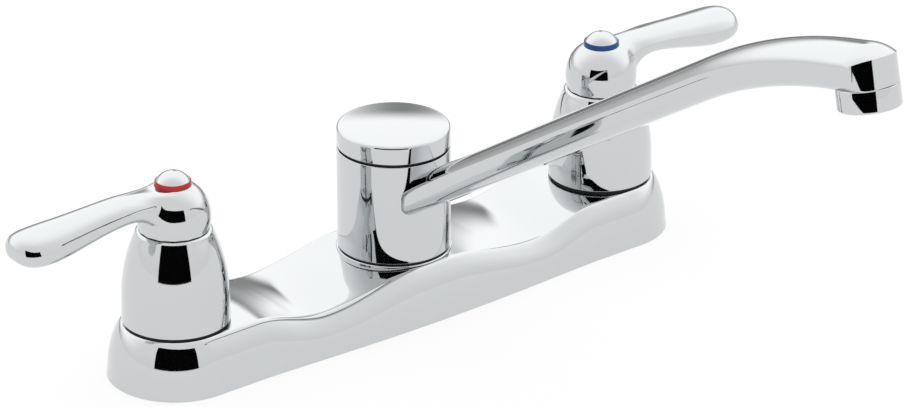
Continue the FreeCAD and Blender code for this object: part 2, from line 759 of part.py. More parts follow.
def make_lever(name, side):
    over = d.overrun
    shape = lever_hub().fuse(lever_arm()).removeSplitter()
    skirt = d.bell_neck_radius + d.lever_skirt_gap
    shape = bored(shape, skirt, LEVER_FOOT - over, LEVER_CEILING)
    shape = bored(shape, d.index_ring_radius + d.thread_fit, RECESS_FLOOR, LEVER_TOP + over)
    shape = bored(shape, d.screw_head_radius + d.loose_fit, SCREW_SEAT, LEVER_TOP)
    shape = bored(shape, d.screw_radius + d.loose_fit, LEVER_FOOT, LEVER_TOP)
    across = float(d.stem_square + d.thread_fit * 2)
    tall = float(SOCKET_ROOF - LEVER_FOOT)
    corner = FreeCAD.Vector(-across / 2, -across / 2, float(LEVER_FOOT))
    shape = shape.cut(Part.makeBox(across, across, tall, corner))
    lever = formed(name + "_lever", shape)
    keep(name + "_lever", place(lever, x=VALVE_X * side, turn=handle_turn(side)))


def make_index(name, x):
    """The coloured ring on the lever's hub, and the chromed cap in it."""
    top = RECESS_FLOOR + d.index_ring_height
    collar = ring(name + "_index_ring", d.index_ring_bore, d.index_ring_radius, RECESS_FLOOR, top)
    keep(name + "_index_ring", place(collar, x=x))
    spigot = d.index_ring_bore - d.thread_fit
    cap_top = top + d.index_cap_height
    crown = (d.index_cap_radius * d.index_cap_radius + d.index_cap_height * d.index_cap_height) \
        / (d.index_cap_height * 2)
    cap = turned(name + "_index_cap", [
        (ZERO, top - d.index_cap_spigot), (spigot, top - d.index_cap_spigot), (spigot, top),
        (d.index_cap_radius, top), (ZERO, cap_top, crown)])
    keep(name + "_index_cap", place(cap, x=x))


# Spout post, its seals and bearings, and the hub that turns on it

def make_post():
    bore_foot = POST_FOOT + d.seat_thickness
    bore_top = POST_TOP - d.post_roof
    groove = POST_RADIUS - d.ring_section - d.end_play
    half = d.ring_section / 2 + d.end_play
    stud_top = POST_TOP + d.stud_height
    corners = [(ZERO, POST_FOOT), (POST_BASE_RADIUS, POST_FOOT), (POST_BASE_RADIUS, POST_LEDGE),
               (POST_RADIUS, POST_LEDGE)]
    for level in (RING_LOW, RING_HIGH):
        corners += [(POST_RADIUS, level - half), (groove, level - half), (groove, level + half),
                    (POST_RADIUS, level + half)]
    corners += [(POST_RADIUS, POST_TOP), (d.stud_radius, POST_TOP), (d.stud_radius, stud_top),
                (ZERO, stud_top)]
    body = turned("post", corners)
    bore = place(cylinder("post_bore", POST_RADIUS - d.post_wall, bore_top - bore_foot), z=bore_foot)
    long = POST_BASE_RADIUS * 2 + d.overrun * 2
    inlet = cylinder("post_inlet", d.crossover_radius + d.thread_fit, long)
    place(inlet, x=-long / 2, z=d.crossover_axis_height, turn=as_size(90), about=INWARDS)
    window = cylinder("post_window", d.post_window_radius, long)
    place(window, y=long / 2, z=CHAMBER_MIDDLE, turn=as_size(90), about=ACROSS)
    keep("spout_post", cut("post_bored", body, bore, inlet, window))


def make_post_rings():
    """Two O-rings in the post's grooves."""
    section = d.ring_section / 2
    centre = POST_RADIUS - section
    rings = []
    for index, level in enumerate((RING_LOW, RING_HIGH)):
        torus = doc.addObject("Part::Torus", "post_ring_%d" % index)
        torus.setExpression("Radius1", centre.text)
        torus.setExpression("Radius2", section.text)
        rings.append(place(torus, z=level))
    pair = doc.addObject("Part::Compound", "post_ring_pair")
    pair.Links = rings
    keep("post_o_rings", pair)


def make_spout_bearings():
    inner = POST_RADIUS + d.loose_fit
    glide = ring("spout_glide_ring", inner, d.hub_radius - d.glide_ring_margin, d.hub_pad_height,
                 d.hub_pad_height + d.glide_ring_height)
    keep("spout_glide_ring", glide)
    bore = d.stud_radius + d.thread_fit
    outer = RECESS_RADIUS - d.loose_fit
    keep("spout_thrust_washer", ring("spout_thrust_washer", bore, outer, POST_TOP, NUT_FOOT))
    nut = hexagon("retaining_nut_bar", d.retaining_nut_width, d.retaining_nut_height)
    hole = place(cylinder("retaining_nut_bore", bore, d.retaining_nut_height + d.overrun * 2), z=-d.overrun)
    keep("spout_retaining_nut", place(cut("retaining_nut", nut, hole), z=NUT_FOOT))


def make_hub():
    edge = d.hub_edge
    body = turned("hub", [
        (HUB_BORE, HUB_FOOT), (d.hub_radius - edge, HUB_FOOT), (d.hub_radius, HUB_FOOT + edge),
        (d.hub_radius, HUB_TOP - edge), (d.hub_radius - edge, HUB_TOP),
        (RECESS_RADIUS, HUB_TOP), (RECESS_RADIUS, HUB_LEDGE), (HUB_BORE, HUB_LEDGE),
        (HUB_BORE, CHAMBER_TOP), (CHAMBER_RADIUS, CHAMBER_TOP), (CHAMBER_RADIUS, CHAMBER_FOOT),
        (HUB_BORE, CHAMBER_FOOT)])
    port = cylinder("hub_port", d.spout_bore_radius, d.hub_radius)
    tilt = -d.spout_rise_angle + 90
    along = cosine(d.spout_rise_angle) * d.hub_radius
    up = sine(d.spout_rise_angle) * d.hub_radius
    place(port, y=along / 2 - d.hub_radius, z=d.spout_root_height - up / 2, turn=tilt, about=ACROSS)
    keep("spout_hub", cut("hub_ported", body, port))


def make_hub_cap():
    top = CAP_FOOT + d.cap_height
    shoulder_level = top - d.cap_crown - d.cap_edge
    brim = d.hub_radius - d.cap_edge
    crown = (brim * brim + d.cap_crown * d.cap_crown) / (d.cap_crown * 2)
    spigot = RECESS_RADIUS - d.thread_fit
    inner = spigot - d.cap_wall
    spigot_foot = HUB_TOP - d.cap_spigot_height
    roof = top - d.cap_wall - d.cap_crown
    cap = turned("hub_cap", [
        (inner, spigot_foot), (spigot, spigot_foot), (spigot, CAP_FOOT),
        (d.hub_radius - d.hub_edge, CAP_FOOT), (d.hub_radius, CAP_FOOT + d.hub_edge),
        (d.hub_radius, shoulder_level), (brim, top - d.cap_crown, d.cap_edge),
        (ZERO, top, crown), (ZERO, roof), (inner, roof)])
    keep("hub_cap", cap)
    seal_edge = d.hub_radius - d.cap_seal_margin
    keep("hub_cap_seal", ring("hub_cap_seal", RECESS_RADIUS, seal_edge, HUB_TOP, CAP_FOOT))


# Spout arm: it rises straight from the hub, bends level and ends over the nozzle

def spout_point(run):
    """Centre and direction of the arm after a run from the hub's skin, in the plane (forward, up)."""
    rise = math.radians(float(d.spout_rise_angle))
    straight = float(d.spout_straight)
    radius = float(d.spout_bend_radius)
    start = FreeCAD.Vector(float(d.hub_radius), 0, float(d.spout_root_height))
    heading = FreeCAD.Vector(math.cos(rise), 0, math.sin(rise))
    if run <= straight:
        return start + heading * run, heading
    sweep = math.radians(float(d.spout_rise_angle - d.spout_end_angle))
    turn = min((run - straight) / radius, sweep)
    bend = start + heading * straight
    pivot = bend + FreeCAD.Vector(math.sin(rise), 0, -math.cos(rise)) * radius
    angle = rise - turn
    heading = FreeCAD.Vector(math.cos(angle), 0, math.sin(angle))
    centre = pivot + FreeCAD.Vector(-math.sin(angle), 0, math.cos(angle)) * radius
    return centre + heading * (run - straight - turn * radius), heading


def spout_length():
    sweep = math.radians(float(d.spout_rise_angle - d.spout_end_angle))
    return float(d.spout_straight) + sweep * float(d.spout_bend_radius) + float(d.spout_lead)


def spout_depth(run):
    """The arm deepens from the hub to the bend, and on to the nose."""
    straight = float(d.spout_straight)
    root, bend, nose = float(d.spout_root_depth), float(d.spout_bend_depth), float(d.spout_nose_depth)
    if run <= straight:
        return root + (bend - root) * run / straight
    return bend + (nose - bend) * (run - straight) / (spout_length() - straight)


SPOUT_STRAIGHT_SHARES = (-0.06, 0.06, 0.18, 0.3, 0.42, 0.54, 0.66, 0.78, 0.9)
SPOUT_BEND_SHARES = (0.04, 0.3, 0.55, 0.8)


def spout_bore():
    """The waterway through the arm, from the hub to above the nozzle."""
    radius = float(d.spout_bore_radius)
    straight = float(d.spout_straight)
    start, heading = spout_point(-float(d.hub_chamber_wall))
    bend, heading = spout_point(straight)
    run = Part.makeCylinder(radius, (bend - start).Length, start, heading)
    rise = math.radians(float(d.spout_rise_angle))
    pivot = bend + FreeCAD.Vector(math.sin(rise), 0, -math.cos(rise)) * float(d.spout_bend_radius)
    ring_edge = Part.makeCircle(radius, bend, heading)
    disc = Part.Face(Part.Wire([ring_edge]))
    sweep = float(d.spout_rise_angle - d.spout_end_angle)
    curve = disc.revolve(pivot, INWARDS, sweep)
    end, heading = spout_point(spout_length() - float(d.spout_lead))
    lead = Part.makeCylinder(radius, float(d.spout_lead), end, heading)
    return run.fuse(curve).fuse(lead)


def half_drum(foot, axis, tall):
    """The front half of an upright drum as wide as the arm, from its foot on the nozzle's axis."""
    side = INWARDS * (float(d.spout_width) / -2)
    rim = axis * tall
    near_half = Part.Face(Part.makePolygon([foot, foot + side, foot + side + rim, foot + rim, foot]))
    return near_half.revolve(foot, axis, 180)


def make_spout_arm():
    straight = float(d.spout_straight)
    length = spout_length()
    bend = length - straight - float(d.spout_lead)
    runs = [straight * share for share in SPOUT_STRAIGHT_SHARES]
    runs += [straight + bend * share for share in SPOUT_BEND_SHARES] + [length]
    width = float(d.spout_width)
    wires = []
    for run in runs:
        centre, heading = spout_point(run)
        wires.append(arched_section(centre, heading, width, spout_depth(run)))
    arm = Part.makeLoft(wires, True)
    nose, heading = spout_point(length)
    axis = FreeCAD.Vector(-heading.z, 0, heading.x)
    depth = spout_depth(length)
    foot = nose - axis * (depth / 2)
    over = float(d.overrun)
    pivot = nose + axis * (depth / 2 - float(d.spout_nose_round))
    crown = Part.Face(wires[-1]).revolve(pivot, INWARDS, 90)
    arm = arm.fuse(half_drum(foot, axis, depth + over).common(crown)).fuse(half_drum(foot, axis, depth / 2))
    tall = float(POST_TOP) * 2
    arm = arm.cut(Part.makeCylinder(float(d.hub_radius), tall))
    arm = arm.cut(spout_bore())
    sink = float(d.collar_sink)
    seat = Part.makeCylinder(width / 2 + float(d.seam_gap), sink + over, foot - axis * over, axis)
    thread = float(d.nozzle_thread_radius + d.thread_fit)
    deep = sink + float(d.nozzle_thread_depth)
    socket = Part.makeCylinder(thread, deep + over, foot - axis * over, axis)
    arm = arm.cut(seat).cut(socket)
    shape = arm.removeSplitter()
    lift = depth / 2 - deep
    drop = Part.makeCylinder(float(d.spout_bore_radius), lift, nose - axis * lift, axis)
    piece = formed("spout_arm", shape.cut(drop))
    piece.Placement = FreeCAD.Placement(FreeCAD.Vector(), FreeCAD.Rotation(UP, -90))
    keep("spout_arm", piece)


def nozzle_place(thing, along):
    """Puts a piece that was turned about Z on the nozzle's axis, a length above the outlet."""
    bend_run = d.spout_bend_radius
    rise, end = d.spout_rise_angle, d.spout_end_angle
    forward = d.hub_radius + cosine(rise) * d.spout_straight + (sine(rise) - sine(end)) * bend_run \
        + cosine(end) * d.spout_lead
    up = d.spout_root_height + sine(rise) * d.spout_straight + (cosine(end) - cosine(rise)) * bend_run \
        + sine(end) * d.spout_lead
    below = d.spout_nose_depth / 2 - d.collar_sink + d.seam_gap + d.collar_height - along
    place(thing, y=-(forward + sine(end) * below), z=up - cosine(end) * below, turn=-end, about=ACROSS)
    return thing


def make_aerator():
    thread = d.nozzle_thread_radius
    thread_top = d.collar_height + d.seam_gap + d.nozzle_thread_depth - d.aerator_washer_height - d.end_play
    outer = d.spout_width / 2
    edge = d.collar_edge
    lip = d.collar_bore_radius - d.collar_lip
    collar = turned("aerator_collar", [
        (lip, ZERO), (outer - edge, ZERO), (outer, edge, edge), (outer, d.collar_height - edge / 2),
        (outer - edge / 2, d.collar_height), (thread, d.collar_height), (thread, thread_top),
        (d.collar_bore_radius, thread_top), (d.collar_bore_radius, d.collar_lip), (lip, d.collar_lip)])
    keep("aerator_collar", nozzle_place(collar, ZERO))
    rubber = ring("aerator_washer", d.collar_bore_radius, thread, ZERO, d.aerator_washer_height)
    keep("aerator_washer", nozzle_place(rubber, thread_top))
    body = doc.addObject("PartDesign::Body", "aerator_screen")
    core = body.newObject("PartDesign::AdditiveCylinder", "screen_core")
    core.setExpression("Radius", (d.collar_bore_radius - d.thread_fit).text)
    core.setExpression("Height", d.screen_height.text)
    hole_rings = (("inner", d.screen_inner_ring, 6), ("outer", d.screen_outer_ring, 14))
    for label, ring_radius, count in hole_rings:
        hole = body.newObject("PartDesign::SubtractiveCylinder", "screen_%s_hole" % label)
        hole.setExpression("Radius", d.screen_hole_radius.text)
        hole.setExpression("Height", d.screen_height.text)
        hole.AttachmentSupport = [(origin_plane(body, "XY_Plane"), "")]
        hole.MapMode = "FlatFace"
        hole.setExpression("AttachmentOffset.Base.x", ring_radius.text)
        doc.recompute()
        pattern = body.newObject("PartDesign::PolarPattern", "screen_%s_ring" % label)
        pattern.Originals = [hole]
        pattern.Axis = (origin_axis(body), [""])
        pattern.Angle = 360
        pattern.Occurrences = count
        body.Tip = pattern
        doc.recompute()
    keep("aerator_screen", nozzle_place(body, d.collar_lip))


def origin_axis(body):
    return next(axis for axis in body.Origin.OriginFeatures if axis.Role == "Z_Axis")


def build():
    make_deck_plate()
    make_deck_gasket()
    for name, side in SIDES.items():
        x = VALVE_X * side
        make_shank(name, x)
        make_valve_body(name, side)
        make_crossover(name, side)
        make_cartridge(name, x)
        make_bell(name, x)
        make_stem(name, side)
        make_lever(name, side)
        make_index(name, x)
    make_post()
    make_post_rings()
    make_spout_bearings()
    make_hub()
    make_hub_cap()
    make_spout_arm()
    make_aerator()
    doc.recompute()


def check():
    """Stops if any object failed to build or a sub-part is not a sound solid."""
    for thing in doc.Objects:
        if "Invalid" in thing.State or "Error" in thing.State:
            raise RuntimeError("%s failed: %s" % (thing.Label, thing.State))
    for name, thing in PARTS.items():
        if thing.Shape.isNull() or not thing.Shape.isValid() or not thing.Shape.Solids:
            raise RuntimeError("%s has no sound solid" % name)


def write():
    os.makedirs("parts", exist_ok=True)
    for name, thing in PARTS.items():
        thing.Shape.exportStep("parts/%s.step" % name)


build()
check()
write()
for name, thing in PARTS.items():
    print(name, len(thing.Shape.Solids), round(thing.Shape.Volume, 1))
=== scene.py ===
import json
import math

import bmesh
import bpy
from mathutils import Matrix, Vector


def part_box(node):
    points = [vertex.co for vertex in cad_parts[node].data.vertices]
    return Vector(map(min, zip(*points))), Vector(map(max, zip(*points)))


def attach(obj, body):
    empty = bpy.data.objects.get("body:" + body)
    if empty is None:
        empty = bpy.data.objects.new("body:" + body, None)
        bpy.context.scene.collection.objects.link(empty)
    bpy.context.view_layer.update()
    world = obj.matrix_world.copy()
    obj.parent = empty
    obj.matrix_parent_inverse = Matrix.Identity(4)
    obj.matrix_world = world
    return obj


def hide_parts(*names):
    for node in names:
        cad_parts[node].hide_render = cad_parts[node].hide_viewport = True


# Two-handle deck-mounted kitchen faucet in polished chrome. Sizes are millimetres times MM, in the
# part's own frame: origin on the deck under the spout post, +X to the cold side, -Y to the user, +Z up.

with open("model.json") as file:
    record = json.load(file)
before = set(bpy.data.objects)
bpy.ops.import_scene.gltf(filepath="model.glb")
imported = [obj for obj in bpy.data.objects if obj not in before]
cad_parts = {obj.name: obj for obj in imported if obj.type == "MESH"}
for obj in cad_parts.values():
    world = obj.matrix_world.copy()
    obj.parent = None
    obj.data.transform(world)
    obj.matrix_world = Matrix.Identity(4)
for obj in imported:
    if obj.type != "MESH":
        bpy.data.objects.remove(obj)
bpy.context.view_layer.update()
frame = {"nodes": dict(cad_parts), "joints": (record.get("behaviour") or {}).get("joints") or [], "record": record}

MM = 0.001
SIDES = {"hot": -1, "cold": 1}
UP = Vector((0, 0, 1))
SPIN_STEPS = 128
ARC_STEPS = 6
SHARP_ANGLE = math.radians(32)
MERGE_DISTANCE = 0.002 * MM
HEIGHT_DIGITS = 3
JOINT_AT = {joint["name"]: Vector(joint["pos_m"]) for joint in frame["joints"]}


def span(node):
    """A node's lowest and highest corners, in millimetres."""
    low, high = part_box(node)
    return low / MM, high / MM


# Materials

def colour(code):
    """A hex sRGB colour as linear RGBA."""
    parts = [int(code[i:i + 2], 16) / 255 for i in (1, 3, 5)]
    return [p / 12.92 if p <= 0.04045 else ((p + 0.055) / 1.055) ** 2.4 for p in parts] + [1]


def add(tree, kind, sockets=None, **settings):
    """Adds a node with its settings. A socket's value is a constant, or another node's output to link."""
    made = tree.nodes.new(kind)
    for key, value in settings.items():
        setattr(made, key, value)
    for key, value in (sockets or {}).items():
        if isinstance(value, bpy.types.NodeSocket):
            tree.links.new(value, made.inputs[key])
        else:
            made.inputs[key].default_value = value
    return made


def per_mm(size):
    """The texture scale that repeats about once in a size given in millimetres."""
    return 1 / (size * MM)


def new_material(name):
    """An empty node material with its principled shader and object coordinates."""
    material = bpy.data.materials.new(name)
    material.use_nodes = True
    tree = material.node_tree
    shader = tree.nodes["Principled BSDF"]
    place = add(tree, "ShaderNodeTexCoord").outputs["Object"]
    return material, tree, shader, place


NOISE_DETAIL = 3.0
# The Mix node's colour sockets
MIX_A, MIX_B, MIX_RESULT = 6, 7, 2


def vary(tree, shader, place, size_mm, roughness, bump_mm, stretch=(1, 1, 1)):
    """Noise of one size that varies the roughness between two values and lifts the surface a little."""
    mapped = add(tree, "ShaderNodeMapping", {"Vector": place, "Scale": stretch}).outputs["Vector"]
    noise = add(tree, "ShaderNodeTexNoise",
                {"Vector": mapped, "Scale": per_mm(size_mm), "Detail": NOISE_DETAIL})
    low, high = roughness
    ranged = add(tree, "ShaderNodeMapRange", {"Value": noise.outputs["Fac"], "To Min": low, "To Max": high})
    tree.links.new(ranged.outputs["Result"], shader.inputs["Roughness"])
    bump = add(tree, "ShaderNodeBump",
               {"Height": noise.outputs["Fac"], "Distance": bump_mm * MM, "Strength": 1.0})
    tree.links.new(bump.outputs["Normal"], shader.inputs["Normal"])
    return noise


def chrome_plate():
    """Bright chromium over polished brass: a cool mirror, with the faint ripple of hand buffing."""
    material, tree, shader, place = new_material("polished_chrome_plate")
    shader.inputs["Base Color"].default_value = colour("#cccecf")
    shader.inputs["Metallic"].default_value = 1.0
    vary(tree, shader, place, size_mm=14, roughness=(0.02, 0.05), bump_mm=0.002)
    return material


def tinted(tree, shader, noise, dark, light):
    """Blends two colours by a noise."""
    blend = add(tree, "ShaderNodeMix",
                {"Factor": noise.outputs["Fac"], MIX_A: colour(dark), MIX_B: colour(light)},
                data_type="RGBA")
    tree.links.new(blend.outputs[MIX_RESULT], shader.inputs["Base Color"])


def machined_brass():
    """Free-cutting brass as it leaves the lathe: warm yellow, with fine turning lines round its axis."""
    material, tree, shader, place = new_material("machined_brass")
    shader.inputs["Metallic"].default_value = 1.0
    noise = vary(tree, shader, place, size_mm=4, roughness=(0.22, 0.36), bump_mm=0.03,
                 stretch=(0.05, 0.05, 8))
    tinted(tree, shader, noise, "#b58f52", "#d9b878")
    return material


def drawn_copper():
    """Drawn copper tube: red metal, dulled to brown in patches by handling."""
    material, tree, shader, place = new_material("drawn_copper")
    shader.inputs["Metallic"].default_value = 1.0
    noise = vary(tree, shader, place, size_mm=9, roughness=(0.2, 0.42), bump_mm=0.01)
    tinted(tree, shader, noise, "#9a5a3c", "#d08a68")
    return material


def zinc_plated_steel():
    """Zinc-plated pressed steel: blue-grey, with the soft mottle of the plating bath."""
    material, tree, shader, place = new_material("zinc_plated_steel")
    shader.inputs["Metallic"].default_value = 1.0
    noise = vary(tree, shader, place, size_mm=2.5, roughness=(0.28, 0.45), bump_mm=0.01)
    tinted(tree, shader, noise, "#a4a9ad", "#c9cdd0")
    return material


def black_rubber():
    """Moulded nitrile rubber: nearly black, dull, with a fine grain from the mould."""
    material, tree, shader, place = new_material("black_nitrile_rubber")
    noise = vary(tree, shader, place, size_mm=0.8, roughness=(0.6, 0.8), bump_mm=0.03)
    tinted(tree, shader, noise, "#161616", "#262626")
    return material


def natural_acetal():
    """Moulded acetal: milky white and waxy, with a slight sheen."""
    material, tree, shader, place = new_material("natural_acetal")
    shader.inputs["Subsurface Weight"].default_value = 0.1
    shader.inputs["Subsurface Radius"].default_value = (1 * MM, 1 * MM, 1 * MM)
    noise = vary(tree, shader, place, size_mm=3, roughness=(0.34, 0.46), bump_mm=0.01)
    tinted(tree, shader, noise, "#dcdcd6", "#ecebe6")
    return material


def black_acetal():
    """Moulded acetal, waxy and nearly black, for the bearing ring under the hub: its dark colour paints the shade
    of the seam at the hub's foot.
    """
    material, tree, shader, place = new_material("black_acetal")
    noise = vary(tree, shader, place, size_mm=3, roughness=(0.34, 0.46), bump_mm=0.01)
    tinted(tree, shader, noise, "#121314", "#1d1e20")
    return material


def lapped_alumina():
    """Lapped alumina ceramic: dense ivory white, smooth with a faint fine grain."""
    material, tree, shader, place = new_material("lapped_alumina")
    noise = vary(tree, shader, place, size_mm=0.6, roughness=(0.12, 0.22), bump_mm=0.002)
    tinted(tree, shader, noise, "#e9e6dc", "#f3f1ea")
    return material


def moulded_abs(name, dark, light):
    """Moulded ABS with a soft sheen in one colour, a little uneven in depth from the mould's flow."""
    material, tree, shader, place = new_material(name)
    shader.inputs["Specular IOR Level"].default_value = 0.2
    noise = vary(tree, shader, place, size_mm=2, roughness=(0.18, 0.3), bump_mm=0.004)
    tinted(tree, shader, noise, dark, light)
    return material


FINISHES = {
    "chrome_plate": chrome_plate(),
    "brass": machined_brass(),
    "copper": drawn_copper(),
    "steel": zinc_plated_steel(),
    "rubber": black_rubber(),
    "acetal": natural_acetal(),
    # Nearly black acetal for the glide ring, painting the shaded seam at the hub's foot as a dark line
    "black_acetal": black_acetal(),
    "alumina": lapped_alumina(),
    "red_plastic": moulded_abs("red_moulded_abs", "#a62529", "#be3135"),
    "blue_plastic": moulded_abs("blue_moulded_abs", "#1a3e74", "#244c88"),
}
NODE_SLOT = {entry["node"]: entry["material_slot"] for entry in frame["record"]["subparts"]}
for node_name, node_object in frame["nodes"].items():
    node_object.data.materials.clear()
    node_object.data.materials.append(FINISHES[NODE_SLOT[node_name]])


# Outlines and skins that several pieces share

def rounded(corners):
    """An outline (radius, height) through corners (radius, height, fillet), each rounded by its fillet."""
    outline = []
    for index, (radius, height, fillet) in enumerate(corners):
        here = Vector((radius, height))
        if not fillet:
            outline.append(here)
            continue
        before = (Vector(corners[index - 1][:2]) - here).normalized()
        after = (Vector(corners[(index + 1) % len(corners)][:2]) - here).normalized()
        half = before.angle(after) / 2
        start = before * (fillet / math.tan(half))
        end = after * (fillet / math.tan(half))
        middle = (before + after).normalized() * (fillet / math.sin(half))
        turn = -(start - middle).angle_signed(end - middle)
        for step in range(ARC_STEPS + 1):
            spoke = Matrix.Rotation(turn * step / ARC_STEPS, 2) @ (start - middle)
            outline.append(here + middle + spoke)
    return outline


def bowed(start, end, radius, steps):
    """Points between two ends on an arc that bows to the right of the way, ends left out."""
    start, end = Vector(start), Vector(end)
    chord = end - start
    left = Vector((-chord.y, chord.x)).normalized()
    centre = (start + end) / 2 + left * math.sqrt(radius ** 2 - (chord.length / 2) ** 2)
    turn = -(start - centre).angle_signed(end - centre)
    spokes = [Matrix.Rotation(turn * step / steps, 2) @ (start - centre) for step in range(1, steps)]
    return [centre + spoke for spoke in spokes]


def turned(outline, closed=False, steps=SPIN_STEPS):
    """A mesh turned about the Z axis from a half outline (radius, height)."""
    bm = bmesh.new()
    verts = [bm.verts.new((point[0] * MM, 0, point[1] * MM)) for point in outline]
    for start, end in zip(verts, verts[1:] + (verts[:1] if closed else [])):
        if start is not end:
            bm.edges.new((start, end))
    bmesh.ops.spin(bm, geom=bm.verts[:] + bm.edges[:], cent=(0, 0, 0), axis=UP, angle=2 * math.pi,
                   steps=steps, use_merge=True)
    return bm


def drawn_out(bm, sections, closed):
    """Draws a skin out from the first section to each next one, and returns the end sections' edges."""
    order = bm.verts.layers.int.get("order") or bm.verts.layers.int.new("order")
    verts = []
    for index, point in enumerate(sections[0]):
        vert = bm.verts.new(point)
        vert[order] = index
        verts.append(vert)
    edges = [bm.edges.new(pair) for pair in zip(verts, verts[1:] + (verts[:1] if closed else []))]
    first = edges
    for section in sections[1:]:
        drawn = bmesh.ops.extrude_edge_only(bm, edges=edges)["geom"]
        new_verts = {item for item in drawn if isinstance(item, bmesh.types.BMVert)}
        new_edges = [item for item in drawn if isinstance(item, bmesh.types.BMEdge)]
        edges = [edge for edge in new_edges if set(edge.verts) <= new_verts]
        for vert in new_verts:
            vert.co = section[vert[order]]
    return first, edges


def add_piece(name, bm, slot, body, node, keep_sharp=True):
    """Makes a finished piece of a mesh in a node's place: merged, facing outwards and smooth."""
    bmesh.ops.remove_doubles(bm, verts=bm.verts, dist=MERGE_DISTANCE)
    bmesh.ops.dissolve_degenerate(bm, edges=bm.edges, dist=MERGE_DISTANCE)
    bmesh.ops.recalc_face_normals(bm, faces=bm.faces)
    mesh = bpy.data.meshes.new(name)
    bm.to_mesh(mesh)
    bm.free()
    mesh.shade_smooth()
    if keep_sharp:
        mesh.set_sharp_from_angle(angle=SHARP_ANGLE)
    mesh.materials.append(FINISHES[slot])
    piece = bpy.data.objects.new(name, mesh)
    bpy.context.scene.collection.objects.link(piece)
    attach(piece, body)
    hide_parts(node)
    return piece


def move(bm, offset, turn=0, about="Z"):
    """Turns a mesh about an axis through the origin, then moves it, in millimetres."""
    bmesh.ops.rotate(bm, verts=bm.verts, cent=(0, 0, 0), matrix=Matrix.Rotation(turn, 3, about))
    bmesh.ops.translate(bm, verts=bm.verts, vec=Vector(offset) * MM)


# Deck plate

PLATE_HIGH = span("deck_plate")[1]
BELL_LOW, BELL_HIGH = span("cold_bell")
HUB_LOW, HUB_HIGH = span("spout_hub")
VALVE_X = JOINT_AT["cold_handle_turn"].x / MM
PLATE_END = PLATE_HIGH.x - VALVE_X
PLATE_MIDDLE = PLATE_HIGH.y
PAD_TOP = span("cold_bell_seal")[0].z
HUB_PAD_TOP = PLATE_HIGH.z
BELL_RADIUS = (BELL_HIGH.x - BELL_LOW.x) / 2
HUB_RADIUS = HUB_HIGH.x
PAD_LEDGE = 0.5
PAD_RADIUS = HUB_RADIUS + PAD_LEDGE
VALLEY_TOP = 16.4
RIM_TOP = 6.0
RIM_DRAFT = 0.6
RIM_EDGE = 0.5
SHOULDER = 5.4
SHOULDER_FULLNESS = 1.5
PLATE_WALL = 2.4
PAD_MARGIN = 0.5
CREST_DROP = 0.4
SADDLE_END = VALVE_X - BELL_RADIUS - PAD_MARGIN
CREST_SHARE = 0.08
VALLEY_SHARE = 0.64
CREST_END = SADDLE_END * CREST_SHARE
VALLEY_X = SADDLE_END * VALLEY_SHARE
WAIST_FADE = 1.5
SADDLE_STEP = 1.5
PAD_EDGE = 0.4
PAD_EDGE_STEPS = 3
SHOULDER_STEPS = 16
TOP_STEPS = 16
TOP_CROWN = 1.3
CROWN_GROWTH = 1.6


def saddle(x):
    """The plate's half width and top height at a distance from the hub's axis."""
    x = min(abs(x), SADDLE_END)
    share = x / SADDLE_END
    if x < CREST_END:
        rise = 1.0
    elif x < VALLEY_X:
        rise = 0.5 + 0.5 * math.cos(math.pi * (x - CREST_END) / (VALLEY_X - CREST_END))
    else:
        rise = 0.5 - 0.5 * math.cos(math.pi * (x - VALLEY_X) / (SADDLE_END - VALLEY_X))
    crest = HUB_PAD_TOP - CREST_DROP
    peak = crest + (PAD_TOP - crest) * share ** 2
    width = PLATE_END + (PLATE_MIDDLE - PLATE_END) * (1 - share ** 2) ** WAIST_FADE
    return width, VALLEY_TOP + (peak - VALLEY_TOP) * rise


def plate_half(width, height):
    """Half of the plate's section, from the deck up its wall and over the shoulder to the middle.

    The top is level under the bells and the hub, and crowned across the valleys between them.
    """
    wall = width - RIM_DRAFT
    brink = wall - SHOULDER
    crown = TOP_CROWN * min(1, max(0, CROWN_GROWTH * (PAD_TOP - height) / (PAD_TOP - VALLEY_TOP)))
    half = [(width - RIM_EDGE, 0), (width, RIM_EDGE), (wall, RIM_TOP)]
    for step in range(1, SHOULDER_STEPS + 1):
        angle = math.pi / 2 * step / SHOULDER_STEPS
        out, up = (abs(share) ** (2 / SHOULDER_FULLNESS) for share in (math.cos(angle), math.sin(angle)))
        half.append((brink + SHOULDER * out, RIM_TOP + (height - RIM_TOP) * up))
    for step in range(1, TOP_STEPS + 1):
        share = 1 - step / TOP_STEPS
        half.append((brink * share, height + crown * (1 - share ** 2)))
    return half


def plate_section(x):
    """The plate's whole section at a distance from the hub, as points of the part."""
    half = plate_half(*saddle(x))
    across = half + [(-y, z) for y, z in reversed(half[:-1])]
    return [Vector((x, y, z)) * MM for y, z in across]


